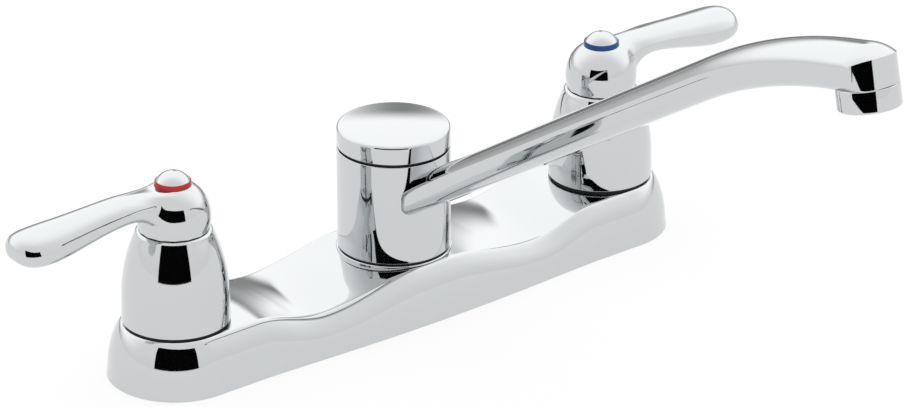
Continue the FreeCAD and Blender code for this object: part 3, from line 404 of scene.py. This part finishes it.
def make_deck_plate():
    """The plate: sections drawn out along X, ends spun round the valves, and the hub's round pad."""
    count = round(2 * VALVE_X / SADDLE_STEP)
    stations = [VALVE_X * (2 * step / count - 1) for step in range(count + 1)]
    bm = bmesh.new()
    first, last = drawn_out(bm, [plate_section(x) for x in stations], closed=False)
    for side, edges in ((-1, first), (1, last)):
        half = [edge for edge in edges if all(vert.co.y > -MERGE_DISTANCE for vert in edge.verts)]
        ends = list({vert for edge in half for vert in edge.verts})
        bmesh.ops.spin(bm, geom=half + ends, cent=(side * VALVE_X * MM, 0, 0), axis=UP,
                       angle=-side * math.pi, steps=SPIN_STEPS // 2)
    bmesh.ops.remove_doubles(bm, verts=bm.verts, dist=MERGE_DISTANCE)
    bmesh.ops.recalc_face_normals(bm, faces=bm.faces)
    bmesh.ops.solidify(bm, geom=bm.faces[:], thickness=PLATE_WALL * MM)
    tall = HUB_PAD_TOP - RIM_TOP
    middle = Matrix.Translation(UP * (HUB_PAD_TOP - tall / 2) * MM)
    pad = bmesh.ops.create_cone(bm, cap_ends=True, segments=SPIN_STEPS, radius1=PAD_RADIUS * MM,
                                radius2=PAD_RADIUS * MM, depth=tall * MM, matrix=middle)
    rim = {edge for vert in pad["verts"] for edge in vert.link_edges
           if all(end.co.z > (HUB_PAD_TOP - PAD_EDGE) * MM for end in edge.verts)}
    bmesh.ops.bevel(bm, geom=list(rim), offset=PAD_EDGE * MM, affect="EDGES", segments=PAD_EDGE_STEPS,
                    profile=0.5, material=-1)
    add_piece("deck_plate_shell", bm, "chrome_plate", "base", "deck_plate")


# Bells over the valves

BELL_WALL = 1.8
BELL_STRAIGHT = 8.0
BELL_LEAN = 0.2
BELL_BOW = 66.0
BELL_BOW_STEPS = 24
BELL_TOP_RADIUS = 14.3
BELL_BROW = 1.2
BELL_BROW_BOW = 1.6
BELL_BROW_STEPS = 8
BELL_NECK_RADIUS = 11.0
BELL_NECK_HEIGHT = 1.9
BELL_EDGE = 0.3


def make_bell(name, side):
    """The bell: straight at its foot, bowed in to a brow, with a short neck under the lever."""
    foot, top = BELL_LOW.z, BELL_HIGH.z - BELL_NECK_HEIGHT
    ceiling = top - BELL_WALL
    waist = (BELL_RADIUS - BELL_LEAN, foot + BELL_STRAIGHT)
    brow = (BELL_TOP_RADIUS, top - BELL_BROW)
    brink = (BELL_TOP_RADIUS - BELL_BROW, top)
    outline = [(0, ceiling), (BELL_TOP_RADIUS - BELL_WALL, ceiling), (waist[0] - BELL_WALL, waist[1])]
    outline += rounded([(BELL_RADIUS - BELL_WALL, foot, 0), (BELL_RADIUS, foot, BELL_EDGE), (*waist, 0)])
    outline += bowed(waist, brow, BELL_BOW, BELL_BOW_STEPS) + [brow]
    outline += bowed(brow, brink, BELL_BROW_BOW, BELL_BROW_STEPS) + [brink]
    outline += [(BELL_NECK_RADIUS, top), (BELL_NECK_RADIUS, BELL_HIGH.z), (0, BELL_HIGH.z)]
    bm = turned(outline)
    move(bm, (side * VALVE_X, 0, 0))
    add_piece(name + "_bell_cover", bm, "chrome_plate", "base", name + "_bell")


# Lever handles: a domed hub with an arm drawn out of its side, as one casting

RING_LOW, RING_HIGH = span("cold_index_ring")
CAP_LOW, CAP_HIGH = span("cold_index_cap")
LEVER_SWEEP = math.radians(3)
DOME_COLUMNS = 16
COLUMN_ANGLE = 2 * math.pi / DOME_COLUMNS
# Subdivision draws a ring of columns in towards the axis, so the cage is made wider by this share
DOME_SWELL = 3 / (2 + math.cos(COLUMN_ANGLE))
DOME_RISE = 16.9
LEVER_FOOT = span("cold_lever")[0].z
LEVER_TOP = LEVER_FOOT + DOME_RISE
SKIRT_RADIUS = 12.9
SKIRT_BORE = 11.5
SKIRT_DEPTH = 2.6
RING_RADIUS = (RING_HIGH.x - RING_LOW.x) / 2
RING_SEAT = RING_LOW.z
# The dome's rings above its skirt: radius, and height over the lever's foot
DOME_RINGS = ((13.35, 1.5), (13.68, 3.6), (13.6, 6.2), (13.1, 8.9), (12.25, 11.3), (10.85, 13.5),
              (8.8, 15.5))
# The arm leaves the dome between two of its rings, and its top edge starts a little higher and further in
ARM_FIRST_RING, ARM_LAST_RING = 2, 6
ARM_COLUMNS = 4
ARM_BROW = (9.5, 16.8)
# The arm's sections: distance from the axis, middle height over the foot, half width, half depth
ARM_SECTIONS = ((18.2, 12.8, 7.2, 4.5), (24.6, 12.85, 7.2, 4.55), (34.8, 11.5, 7.6, 5.1),
                (45.9, 9.7, 8.6, 6.0), (55.6, 8.6, 9.55, 6.6), (62.5, 8.5, 9.4, 6.1),
                (66.9, 8.7, 7.5, 4.8), (68.8, 8.75, 3.6, 2.4))
# A section's control points by row (up) and column (across), as shares of its half width and half depth
ARM_ACROSS_SHARES = ((-0.7, -0.27, 0.27, 0.7), (-1.03, -0.34, 0.34, 1.03), (-1.06, -0.35, 0.35, 1.06),
                     (-0.88, -0.29, 0.29, 0.88), (-0.42, -0.14, 0.14, 0.42))
ARM_UP_SHARES = ((-0.93, -1.03, -1.03, -0.93), (-0.55, -0.55, -0.55, -0.55), (0.05, 0.05, 0.05, 0.05),
                 (0.66, 0.66, 0.66, 0.66), (0.97, 1.05, 1.05, 0.97))
ARM_CREASE_ROW = 2
ARM_CREASE = 0.5
LEVER_SMOOTH_LEVELS = 3


def dome_outline():
    """The hub's half outline, from its hollow underside over the dome to the seat of the index ring."""
    ceiling = LEVER_FOOT + SKIRT_DEPTH
    outline = [(0, ceiling), (SKIRT_BORE, ceiling), (SKIRT_BORE, LEVER_FOOT), (SKIRT_RADIUS, LEVER_FOOT)]
    outline += [(radius, LEVER_FOOT + lift) for radius, lift in DOME_RINGS]
    outline += [(RING_RADIUS, LEVER_TOP), (RING_RADIUS, RING_SEAT), (0, RING_SEAT)]
    return [(radius * DOME_SWELL, height) for radius, height in outline]


def dome_cage():
    """The hub's coarse cage, with its rims creased and a wall of faces that looks along +X."""
    bm = turned(dome_outline(), steps=DOME_COLUMNS)
    bmesh.ops.remove_doubles(bm, verts=bm.verts, dist=MERGE_DISTANCE)
    bmesh.ops.rotate(bm, verts=bm.verts, cent=(0, 0, 0), matrix=Matrix.Rotation(COLUMN_ANGLE / 2, 3, "Z"))
    crease = bm.edges.layers.float.new("crease_edge")
    rim_heights = (LEVER_FOOT, LEVER_FOOT + SKIRT_DEPTH, LEVER_TOP, RING_SEAT)
    rims = {round(height, HEIGHT_DIGITS) for height in rim_heights}
    for edge in bm.edges:
        heights = {round(vert.co.z / MM, HEIGHT_DIGITS) for vert in edge.verts}
        if len(heights) == 1 and heights <= rims and all(vert.co.xy.length > MM for vert in edge.verts):
            edge[crease] = 1.0
    return bm


def arm_root(bm):
    """The faces of the dome that the arm grows from, with each vertex's row and column marked."""
    row, column = (bm.verts.layers.int.new(name) for name in ("row", "column"))
    heights = [LEVER_FOOT + DOME_RINGS[ring][1] for ring in range(ARM_FIRST_RING, ARM_LAST_RING + 1)]
    reach = COLUMN_ANGLE * ARM_COLUMNS / 2
    faces = []
    for face in bm.faces:
        middle = face.calc_center_median()
        outer = middle.xy.length > RING_RADIUS * DOME_SWELL * MM
        ahead = abs(math.atan2(middle.y, middle.x)) < reach - COLUMN_ANGLE / 2
        if outer and ahead and heights[0] < middle.z / MM < heights[-1]:
            faces.append(face)
    for vert in {vert for face in faces for vert in face.verts}:
        vert[row] = min(range(len(heights)), key=lambda index: abs(heights[index] - vert.co.z / MM))
        vert[column] = round(math.atan2(vert.co.y, vert.co.x) / COLUMN_ANGLE + (ARM_COLUMNS - 1) / 2)
    for vert in {vert for face in faces for vert in face.verts}:
        if vert[row] == len(heights) - 1:
            vert.co.x = ARM_BROW[0] * MM
            vert.co.z = (LEVER_FOOT + ARM_BROW[1]) * MM
    return faces, row, column


def lever_cage():
    """The lever's coarse cage along +X, to be smoothed by subdivision."""
    bm = dome_cage()
    faces, row, column = arm_root(bm)
    for distance, lift, width, depth in ARM_SECTIONS:
        drawn = bmesh.ops.extrude_face_region(bm, geom=faces)["geom"]
        bmesh.ops.delete(bm, geom=faces, context="FACES")
        faces = [item for item in drawn if isinstance(item, bmesh.types.BMFace)]
        for vert in (item for item in drawn if isinstance(item, bmesh.types.BMVert)):
            across = ARM_ACROSS_SHARES[vert[row]][vert[column]] * width
            up = ARM_UP_SHARES[vert[row]][vert[column]] * depth
            vert.co = Vector((distance, across, LEVER_FOOT + lift + up)) * MM
    crease = bm.edges.layers.float["crease_edge"]
    for edge in bm.edges:
        start, end = edge.verts
        on_arm = min(start.co.x, end.co.x) > ARM_SECTIONS[0][0] * MM
        along = start[column] == end[column] and start[column] in (0, ARM_COLUMNS - 1)
        if on_arm and along and start[row] == end[row] == ARM_CREASE_ROW:
            edge[crease] = ARM_CREASE
    return bm


def make_lever(name, side):
    """The lever in its place, swept a little to the back, and smoothed to a casting."""
    bm = lever_cage()
    turn = LEVER_SWEEP if side > 0 else math.pi - LEVER_SWEEP
    move(bm, (side * VALVE_X, 0, 0), turn)
    piece = add_piece(name + "_lever_casting", bm, "chrome_plate", name + "_handle", name + "_lever",
                      keep_sharp=False)
    smooth = piece.modifiers.new("smooth_casting", "SUBSURF")
    smooth.levels = smooth.render_levels = LEVER_SMOOTH_LEVELS


INDEX_BORE = 4.4
INDEX_EDGE = 0.5
INDEX_RING_DROP = 0.4
INDEX_RING_TOP = RING_HIGH.z - INDEX_RING_DROP
INDEX_CAP_STEPS = 12


def make_index(name, side, ring_slot):
    """The coloured ring let into the lever's hub, and the domed chrome button on it."""
    cap_radius = (CAP_HIGH.x - CAP_LOW.x) / 2
    band = [(INDEX_BORE, RING_LOW.z, 0), (RING_RADIUS, RING_LOW.z, 0),
            (RING_RADIUS, INDEX_RING_TOP, INDEX_EDGE), (INDEX_BORE, INDEX_RING_TOP, 0)]
    ring = turned(rounded(band), closed=True)
    move(ring, (side * VALVE_X, 0, 0))
    add_piece(name + "_index_band", ring, ring_slot, name + "_handle", name + "_index_ring")
    rise = CAP_HIGH.z - INDEX_RING_TOP
    bow = (cap_radius ** 2 + rise ** 2) / (2 * rise)
    brim, top = (cap_radius, INDEX_RING_TOP), (0, CAP_HIGH.z)
    outline = [(0, CAP_LOW.z), (INDEX_BORE, CAP_LOW.z), (INDEX_BORE, INDEX_RING_TOP), brim]
    outline += bowed(brim, top, bow, INDEX_CAP_STEPS) + [top]
    cap = turned(outline)
    move(cap, (side * VALVE_X, 0, 0))
    add_piece(name + "_index_button", cap, "chrome_plate", name + "_handle", name + "_index_cap")


# Spout: hub, cap, arm and aerator

HUB_BORE = 13.96
HUB_RECESS = 16.2
HUB_LEDGE = 58.74
HUB_EDGE = 0.2
HUB_SKIRT = 0.2
HUB_SKIRT_RADIUS = 20.6
CAP_TOP = span("hub_cap")[1].z
CAP_SEAM = 0.3
CAP_FOOT = span("hub_cap_seal")[1].z + CAP_SEAM
HUB_TOP = HUB_HIGH.z - CAP_SEAM
CAP_EDGE = 1.3
CAP_CROWN = 0.7
CAP_WALL = 2.2
CAP_CROWN_STEPS = 16


def make_hub():
    """The turned hub, with a thin skirt at its foot over the top of the glide ring."""
    hem = HUB_LOW.z - HUB_SKIRT
    wall = [(HUB_BORE, HUB_LOW.z, 0), (HUB_SKIRT_RADIUS, HUB_LOW.z, 0), (HUB_SKIRT_RADIUS, hem, 0),
            (HUB_RADIUS, hem, HUB_EDGE), (HUB_RADIUS, HUB_TOP, HUB_EDGE),
            (HUB_RECESS, HUB_TOP, 0), (HUB_RECESS, HUB_LEDGE, 0), (HUB_BORE, HUB_LEDGE, 0)]
    add_piece("spout_hub_body", turned(rounded(wall), closed=True), "chrome_plate", "spout", "spout_hub")


def make_hub_cap():
    """The turned cap over the hub, with a low crown."""
    brim = HUB_RADIUS - CAP_EDGE
    shoulder = CAP_TOP - CAP_CROWN
    roof = shoulder - CAP_WALL
    inner = HUB_RADIUS - CAP_WALL
    crown_bow = (brim ** 2 + CAP_CROWN ** 2) / (2 * CAP_CROWN)
    outline = [(0, roof), (inner, roof)]
    outline += rounded([(inner, CAP_FOOT, 0), (HUB_RADIUS, CAP_FOOT, HUB_EDGE),
                        (HUB_RADIUS, shoulder, CAP_EDGE), (0, shoulder, 0)])[:-1]
    outline += bowed((brim, shoulder), (0, CAP_TOP), crown_bow, CAP_CROWN_STEPS) + [(0, CAP_TOP)]
    add_piece("spout_hub_cap", turned(outline), "chrome_plate", "spout", "hub_cap")


ARM_ROOT_HEIGHT = 51.3
ARM_RISE = math.radians(32.2)
ARM_END = math.radians(12.5)
ARM_STRAIGHT = 184.0
ARM_BEND = 208.0
ARM_LEAD = 7.8
ARM_WIDTH = 22.0
ARM_ROOT_DEPTH = 13.2
ARM_BEND_DEPTH = 14.3
ARM_NOSE_DEPTH = 15.6
ARM_CORNER_SHARE = 0.28
ARM_BACK = 6.0
ARM_STEP = 3.0
ARM_LENGTH = ARM_STRAIGHT + (ARM_RISE - ARM_END) * ARM_BEND + ARM_LEAD
CROWN_STEPS = 24
CORNER_STEPS = 6
NOSE_ROUND = 18.0
NOSE_STEPS = 12
NOSE_CORNER = 0.5
NOSE_CORNER_FADE = 8
COLLAR_SINK = 1.3


def arm_point(run):
    """The arm's middle and heading after a run from the hub's skin, as (forward, up) and an angle."""
    start = Vector((HUB_RADIUS, ARM_ROOT_HEIGHT))
    bend = start + Vector((math.cos(ARM_RISE), math.sin(ARM_RISE))) * ARM_STRAIGHT
    if run <= ARM_STRAIGHT:
        return start + Vector((math.cos(ARM_RISE), math.sin(ARM_RISE))) * run, ARM_RISE
    turn = min((run - ARM_STRAIGHT) / ARM_BEND, ARM_RISE - ARM_END)
    angle = ARM_RISE - turn
    pivot = bend + Vector((math.sin(ARM_RISE), -math.cos(ARM_RISE))) * ARM_BEND
    middle = pivot + Vector((-math.sin(angle), math.cos(angle))) * ARM_BEND
    rest = run - ARM_STRAIGHT - turn * ARM_BEND
    return middle + Vector((math.cos(angle), math.sin(angle))) * rest, angle


def arm_depth(run):
    """The arm's depth after a run: it grows slowly to the bend, then to the nose."""
    if run <= ARM_STRAIGHT:
        return ARM_ROOT_DEPTH + (ARM_BEND_DEPTH - ARM_ROOT_DEPTH) * run / ARM_STRAIGHT
    share = (run - ARM_STRAIGHT) / (ARM_LENGTH - ARM_STRAIGHT)
    return ARM_BEND_DEPTH + (ARM_NOSE_DEPTH - ARM_BEND_DEPTH) * share


def arm_half(depth):
    """Half of the arm's section, from the crown over the arch, down the flat side and in underneath."""
    wide, tall = ARM_WIDTH / 2, depth / 2
    corner = depth * ARM_CORNER_SHARE
    half = []
    for step in range(CROWN_STEPS + 1):
        angle = math.pi / 2 * (1 - step / CROWN_STEPS)
        half.append((wide * math.cos(angle), tall * math.sin(angle)))
    for step in range(CORNER_STEPS + 1):
        angle = math.pi / 2 * step / CORNER_STEPS
        half.append((wide - corner + corner * math.cos(angle), corner - tall - corner * math.sin(angle)))
    half += [((wide - corner) / 2, -tall), (0, -tall)]
    return half


def arm_section(run):
    """The arm's section after a run, as points of the part."""
    middle, angle = arm_point(run)
    half = arm_half(arm_depth(run))
    loop = half + [(-wide, up) for wide, up in reversed(half[1:-1])]
    lean = Vector((-math.sin(angle), math.cos(angle)))
    return [Vector((wide, -(middle.x + lean.x * up), middle.y + lean.y * up)) * MM for wide, up in loop]


def nose_point(across, ahead, up):
    """A point of the part from the nose's own middle, along its width, its heading and its upright axis."""
    nose, angle = arm_point(ARM_LENGTH)
    forward = nose.x + math.cos(angle) * ahead - math.sin(angle) * up
    return Vector((across, -forward, nose.y + math.sin(angle) * ahead + math.cos(angle) * up)) * MM


def nose_rows():
    """The nose's skin in rows across it: over the crown, down the drum's wall and in under its foot."""
    wide, tall = ARM_WIDTH / 2, ARM_NOSE_DEPTH / 2
    side_corner = ARM_NOSE_DEPTH * ARM_CORNER_SHARE
    columns = []
    for step in range(-CROWN_STEPS, CROWN_STEPS + 1):
        angle = math.pi / 2 * step / CROWN_STEPS
        across, ahead = math.sin(angle), math.cos(angle)
        swing = NOSE_ROUND - tall + tall * ahead
        foot = -tall + COLLAR_SINK * ahead ** 2
        corner = NOSE_CORNER + (side_corner - NOSE_CORNER) * abs(across) ** NOSE_CORNER_FADE
        column = []
        for rise in range(NOSE_STEPS + 1):
            reach = wide * ahead * rise / NOSE_STEPS
            column.append((wide * across, reach, tall - NOSE_ROUND + math.sqrt(swing ** 2 - reach ** 2)))
        for turn in range(CORNER_STEPS + 1):
            bend = math.pi / 2 * turn / CORNER_STEPS
            out = wide - corner + corner * math.cos(bend)
            column.append((out * across, out * ahead, foot + corner - corner * math.sin(bend)))
        inner = (wide - corner) / 2
        column += [(inner * across, inner * ahead, foot), (0, 0, -tall)]
        columns.append([nose_point(*point) for point in column])
    return list(zip(*columns))


def make_spout_arm():
    """The arm drawn out from inside the hub to the nose, and the nose's rounded skin."""
    count = round((ARM_LENGTH + ARM_BACK) / ARM_STEP)
    runs = [ARM_LENGTH - (ARM_LENGTH + ARM_BACK) * (1 - step / count) for step in range(count + 1)]
    bm = bmesh.new()
    drawn_out(bm, [arm_section(run) for run in runs], closed=True)
    drawn_out(bm, nose_rows(), closed=False)
    bmesh.ops.remove_doubles(bm, verts=bm.verts, dist=MERGE_DISTANCE)
    bmesh.ops.holes_fill(bm, edges=[edge for edge in bm.edges if edge.is_boundary])
    add_piece("spout_arm_casting", bm, "chrome_plate", "spout", "spout_arm")


COLLAR_HEIGHT = 8.0
COLLAR_EDGE = 0.8
COLLAR_SEAM = 0.4
COLLAR_BORE = 7.9
COLLAR_LIP = 0.8
COLLAR_THREAD = 9.6
SEAM_GAP = 0.1


def nozzle_move(bm):
    """Puts a mesh turned about Z on the nozzle's axis, with its foot, at zero, at the outlet."""
    below = ARM_NOSE_DEPTH / 2 - COLLAR_SINK + SEAM_GAP + COLLAR_HEIGHT
    move(bm, nose_point(0, 0, -below) / MM, -ARM_END, "X")


def make_collar():
    """The aerator's collar, screwed into the nose and open at the outlet."""
    wide = ARM_WIDTH / 2
    inner = COLLAR_BORE - COLLAR_LIP
    top = COLLAR_HEIGHT + COLLAR_LIP
    wall = [(inner, 0, 0), (wide, 0, COLLAR_EDGE), (wide, COLLAR_HEIGHT, COLLAR_SEAM),
            (COLLAR_THREAD, COLLAR_HEIGHT, 0), (COLLAR_THREAD, top, 0),
            (COLLAR_BORE, top, 0), (COLLAR_BORE, COLLAR_LIP, 0), (inner, COLLAR_LIP, 0)]
    bm = turned(rounded(wall), closed=True)
    nozzle_move(bm)
    add_piece("aerator_collar_ring", bm, "chrome_plate", "spout", "aerator_collar")


# Studio: a pale floor, soft light from all round, and what the chrome mirrors: a black card on the
# camera's side, a grey card on the floor behind the object and a dark doorway behind that

CAMERA_AZIMUTH = math.radians(-39.20)
CAMERA_ELEVATION = math.radians(24.75)
CAMERA_DISTANCE = 2044.9
CAMERA_TARGET = Vector((28.78, 0, 29.63))
CAMERA_LENS = 215.0
FLOOR_HALF = 30.0
FLOOR_DROP = 0.05
FLOOR_GLOW = 0.88
FRONT_LIGHT = 0.95
BACK_LIGHT = 0.4
OVERHEAD_BACK_LIGHT = 1.45
OVERHEAD_FRONT_LIGHT = 1.0
# The light blends from the back's to the front's between these looks: -1 is straight away from the camera
# and 1 straight towards it
WALL_BLEND = (-0.9, -0.3)
CEILING_BLEND = (-0.5, 0.5)
# Where the wall's light gives way to the ceiling's, and the doorway's soft edges, as sines of their angles
WALL_TO_CEILING = (0.0, 0.32)
DOORWAY_LIGHT = 0.33
DOORWAY_HALF_WIDTH = (0.0, math.sin(math.radians(6.5)))
DOORWAY_TOP = (math.sin(math.radians(18.7)), math.sin(math.radians(23.6)))
EASED = {"interpolation_type": "SMOOTHSTEP"}
CARD_DISTANCE = 650.0
CARD_AZIMUTH = math.radians(-43)
CARD_HALF_ANGLE = math.radians(33)
CARD_FOOT = 20.0
CARD_TOP = 420.0
CARD_STEPS = 24
FLAG_CORNER = Vector((-60.0, 380.0, 0.5))
FLAG_WIDTH = 6000.0
FLAG_SLANT = Vector((1930.0, 7620.0, 0.0))


def heading(azimuth, elevation):
    """The way from the object to a camera at an azimuth and elevation."""
    flat = math.cos(elevation)
    return Vector((math.sin(azimuth) * flat, -math.cos(azimuth) * flat, math.sin(elevation)))


def aim_camera():
    camera = bpy.data.cameras.new("photo_camera")
    camera.lens = CAMERA_LENS
    holder = bpy.data.objects.new("photo_camera", camera)
    bpy.context.scene.collection.objects.link(holder)
    way = heading(CAMERA_AZIMUTH, CAMERA_ELEVATION)
    holder.location = (CAMERA_TARGET + way * CAMERA_DISTANCE) * MM
    holder.rotation_euler = way.to_track_quat("Z", "Y").to_euler()
    bpy.context.scene.camera = holder


def add_stage(name, bm, material):
    mesh = bpy.data.meshes.new(name)
    bm.to_mesh(mesh)
    bm.free()
    mesh.materials.append(material)
    item = bpy.data.objects.new(name, mesh)
    bpy.context.scene.collection.objects.link(item)
    return item


def seen_directly(tree):
    """One where a ray comes from the camera, a mirror or clear glass, and nought for diffuse light."""
    path = add(tree, "ShaderNodeLightPath").outputs
    seen = add(tree, "ShaderNodeMath", {0: path["Is Camera Ray"], 1: path["Is Glossy Ray"]},
               operation="MAXIMUM")
    seen = add(tree, "ShaderNodeMath", {0: seen.outputs[0], 1: path["Is Transmission Ray"]},
               operation="MAXIMUM")
    return seen.outputs[0]


def make_floor():
    """A matte white deck that shows as white, with a trace of the object's shadow."""
    material = bpy.data.materials.new("white_deck")
    material.use_nodes = True
    tree = material.node_tree
    tree.nodes.clear()
    matte = add(tree, "ShaderNodeBsdfDiffuse", {"Color": colour("#f2f2f2")})
    glow = add(tree, "ShaderNodeEmission", {"Color": colour("#ffffff"), "Strength": 1.0})
    share = add(tree, "ShaderNodeMath", {0: seen_directly(tree), 1: FLOOR_GLOW}, operation="MULTIPLY")
    mixed = add(tree, "ShaderNodeMixShader", {0: share.outputs[0], 1: matte.outputs[0], 2: glow.outputs[0]})
    add(tree, "ShaderNodeOutputMaterial", {"Surface": mixed.outputs[0]})
    bm = bmesh.new()
    bmesh.ops.create_grid(bm, x_segments=1, y_segments=1, size=FLOOR_HALF)
    move(bm, (0, 0, -FLOOR_DROP))
    add_stage("deck_floor", bm, material)


def add_flag(name, bm, tone):
    """A card of one grey that only mirrors see, as a studio hides its flags from the lens."""
    material = bpy.data.materials.new(name)
    material.use_nodes = True
    tree = material.node_tree
    tree.nodes.clear()
    matte = add(tree, "ShaderNodeBsdfDiffuse", {"Color": colour(tone)})
    add(tree, "ShaderNodeOutputMaterial", {"Surface": matte.outputs[0]})
    flag = add_stage(name, bm, material)
    flag.visible_camera = False
    flag.visible_diffuse = False
    flag.visible_shadow = False
    flag.visible_transmission = False


def make_cards():
    """A black card that curves round the camera's side, and a grey one on the floor behind the object."""
    bm = bmesh.new()
    start = heading(CARD_AZIMUTH - CARD_HALF_ANGLE, 0) * CARD_DISTANCE
    ends = [bm.verts.new((start + UP * height) * MM) for height in (CARD_FOOT, CARD_TOP)]
    edge = bm.edges.new(ends)
    bmesh.ops.spin(bm, geom=ends + [edge], cent=(0, 0, 0), axis=UP, angle=2 * CARD_HALF_ANGLE,
                   steps=CARD_STEPS)
    add_flag("black_studio_card", bm, "#050505")
    bm = bmesh.new()
    near = [bm.verts.new((FLAG_CORNER + Vector((along, 0, 0))) * MM) for along in (0, FLAG_WIDTH)]
    drawn = bmesh.ops.extrude_edge_only(bm, edges=[bm.edges.new(near)])["geom"]
    far = [item for item in drawn if isinstance(item, bmesh.types.BMVert)]
    bmesh.ops.translate(bm, verts=far, vec=FLAG_SLANT * MM)
    add_flag("grey_studio_card", bm, "#7c7c7c")


def light_studio():
    """A bright ceiling over a room that darkens to the back, with a dark doorway behind the object."""
    world = bpy.data.worlds.new("soft_studio")
    bpy.context.scene.world = world
    world.use_nodes = True
    tree = world.node_tree
    tree.nodes.clear()
    way = add(tree, "ShaderNodeTexCoord").outputs["Generated"]
    up = add(tree, "ShaderNodeSeparateXYZ", {0: way}).outputs["Z"]
    ahead, beside = heading(CAMERA_AZIMUTH, 0), heading(CAMERA_AZIMUTH + math.pi / 2, 0)
    front = add(tree, "ShaderNodeVectorMath", {0: way, 1: ahead}, operation="DOT_PRODUCT").outputs["Value"]
    aside = add(tree, "ShaderNodeVectorMath", {0: way, 1: beside}, operation="DOT_PRODUCT").outputs["Value"]
    near, far = WALL_BLEND
    wall = add(tree, "ShaderNodeMapRange", {"Value": front, "From Min": near, "From Max": far,
                                            "To Min": BACK_LIGHT, "To Max": FRONT_LIGHT}, **EASED)
    near, far = CEILING_BLEND
    ceiling = add(tree, "ShaderNodeMapRange",
                  {"Value": front, "From Min": near, "From Max": far,
                   "To Min": OVERHEAD_BACK_LIGHT, "To Max": OVERHEAD_FRONT_LIGHT}, **EASED)
    near, far = WALL_TO_CEILING
    room = add(tree, "ShaderNodeMapRange",
               {"Value": up, "From Min": near, "From Max": far,
                "To Min": wall.outputs["Result"], "To Max": ceiling.outputs["Result"]}, **EASED)
    away = add(tree, "ShaderNodeMath", {0: aside}, operation="ABSOLUTE")
    near, far = DOORWAY_HALF_WIDTH
    across = add(tree, "ShaderNodeMapRange", {"Value": away.outputs[0], "From Min": near, "From Max": far,
                                              "To Min": 1.0, "To Max": 0.0}, **EASED)
    near, far = DOORWAY_TOP
    below = add(tree, "ShaderNodeMapRange", {"Value": up, "From Min": near, "From Max": far,
                                             "To Min": 1.0, "To Max": 0.0}, **EASED)
    behind = add(tree, "ShaderNodeMath", {0: front, 1: 0.0}, operation="LESS_THAN")
    opening = add(tree, "ShaderNodeMath", {0: across.outputs["Result"], 1: below.outputs["Result"]},
                  operation="MULTIPLY")
    share = add(tree, "ShaderNodeMath", {0: opening.outputs[0], 1: behind.outputs[0]}, operation="MULTIPLY")
    light = add(tree, "ShaderNodeMapRange", {"Value": share.outputs[0], "To Min": room.outputs["Result"],
                                             "To Max": DOORWAY_LIGHT})
    sky = add(tree, "ShaderNodeBackground",
              {"Color": colour("#ffffff"), "Strength": light.outputs["Result"]})
    add(tree, "ShaderNodeOutputWorld", {"Surface": sky.outputs[0]})


make_deck_plate()
for name, side in SIDES.items():
    make_bell(name, side)
    make_lever(name, side)
make_index("hot", SIDES["hot"], "red_plastic")
make_index("cold", SIDES["cold"], "blue_plastic")
make_hub()
make_hub_cap()
make_spout_arm()
make_collar()
make_floor()
make_cards()
light_studio()
aim_camera()
bpy.context.scene.view_settings.view_transform = "Standard"
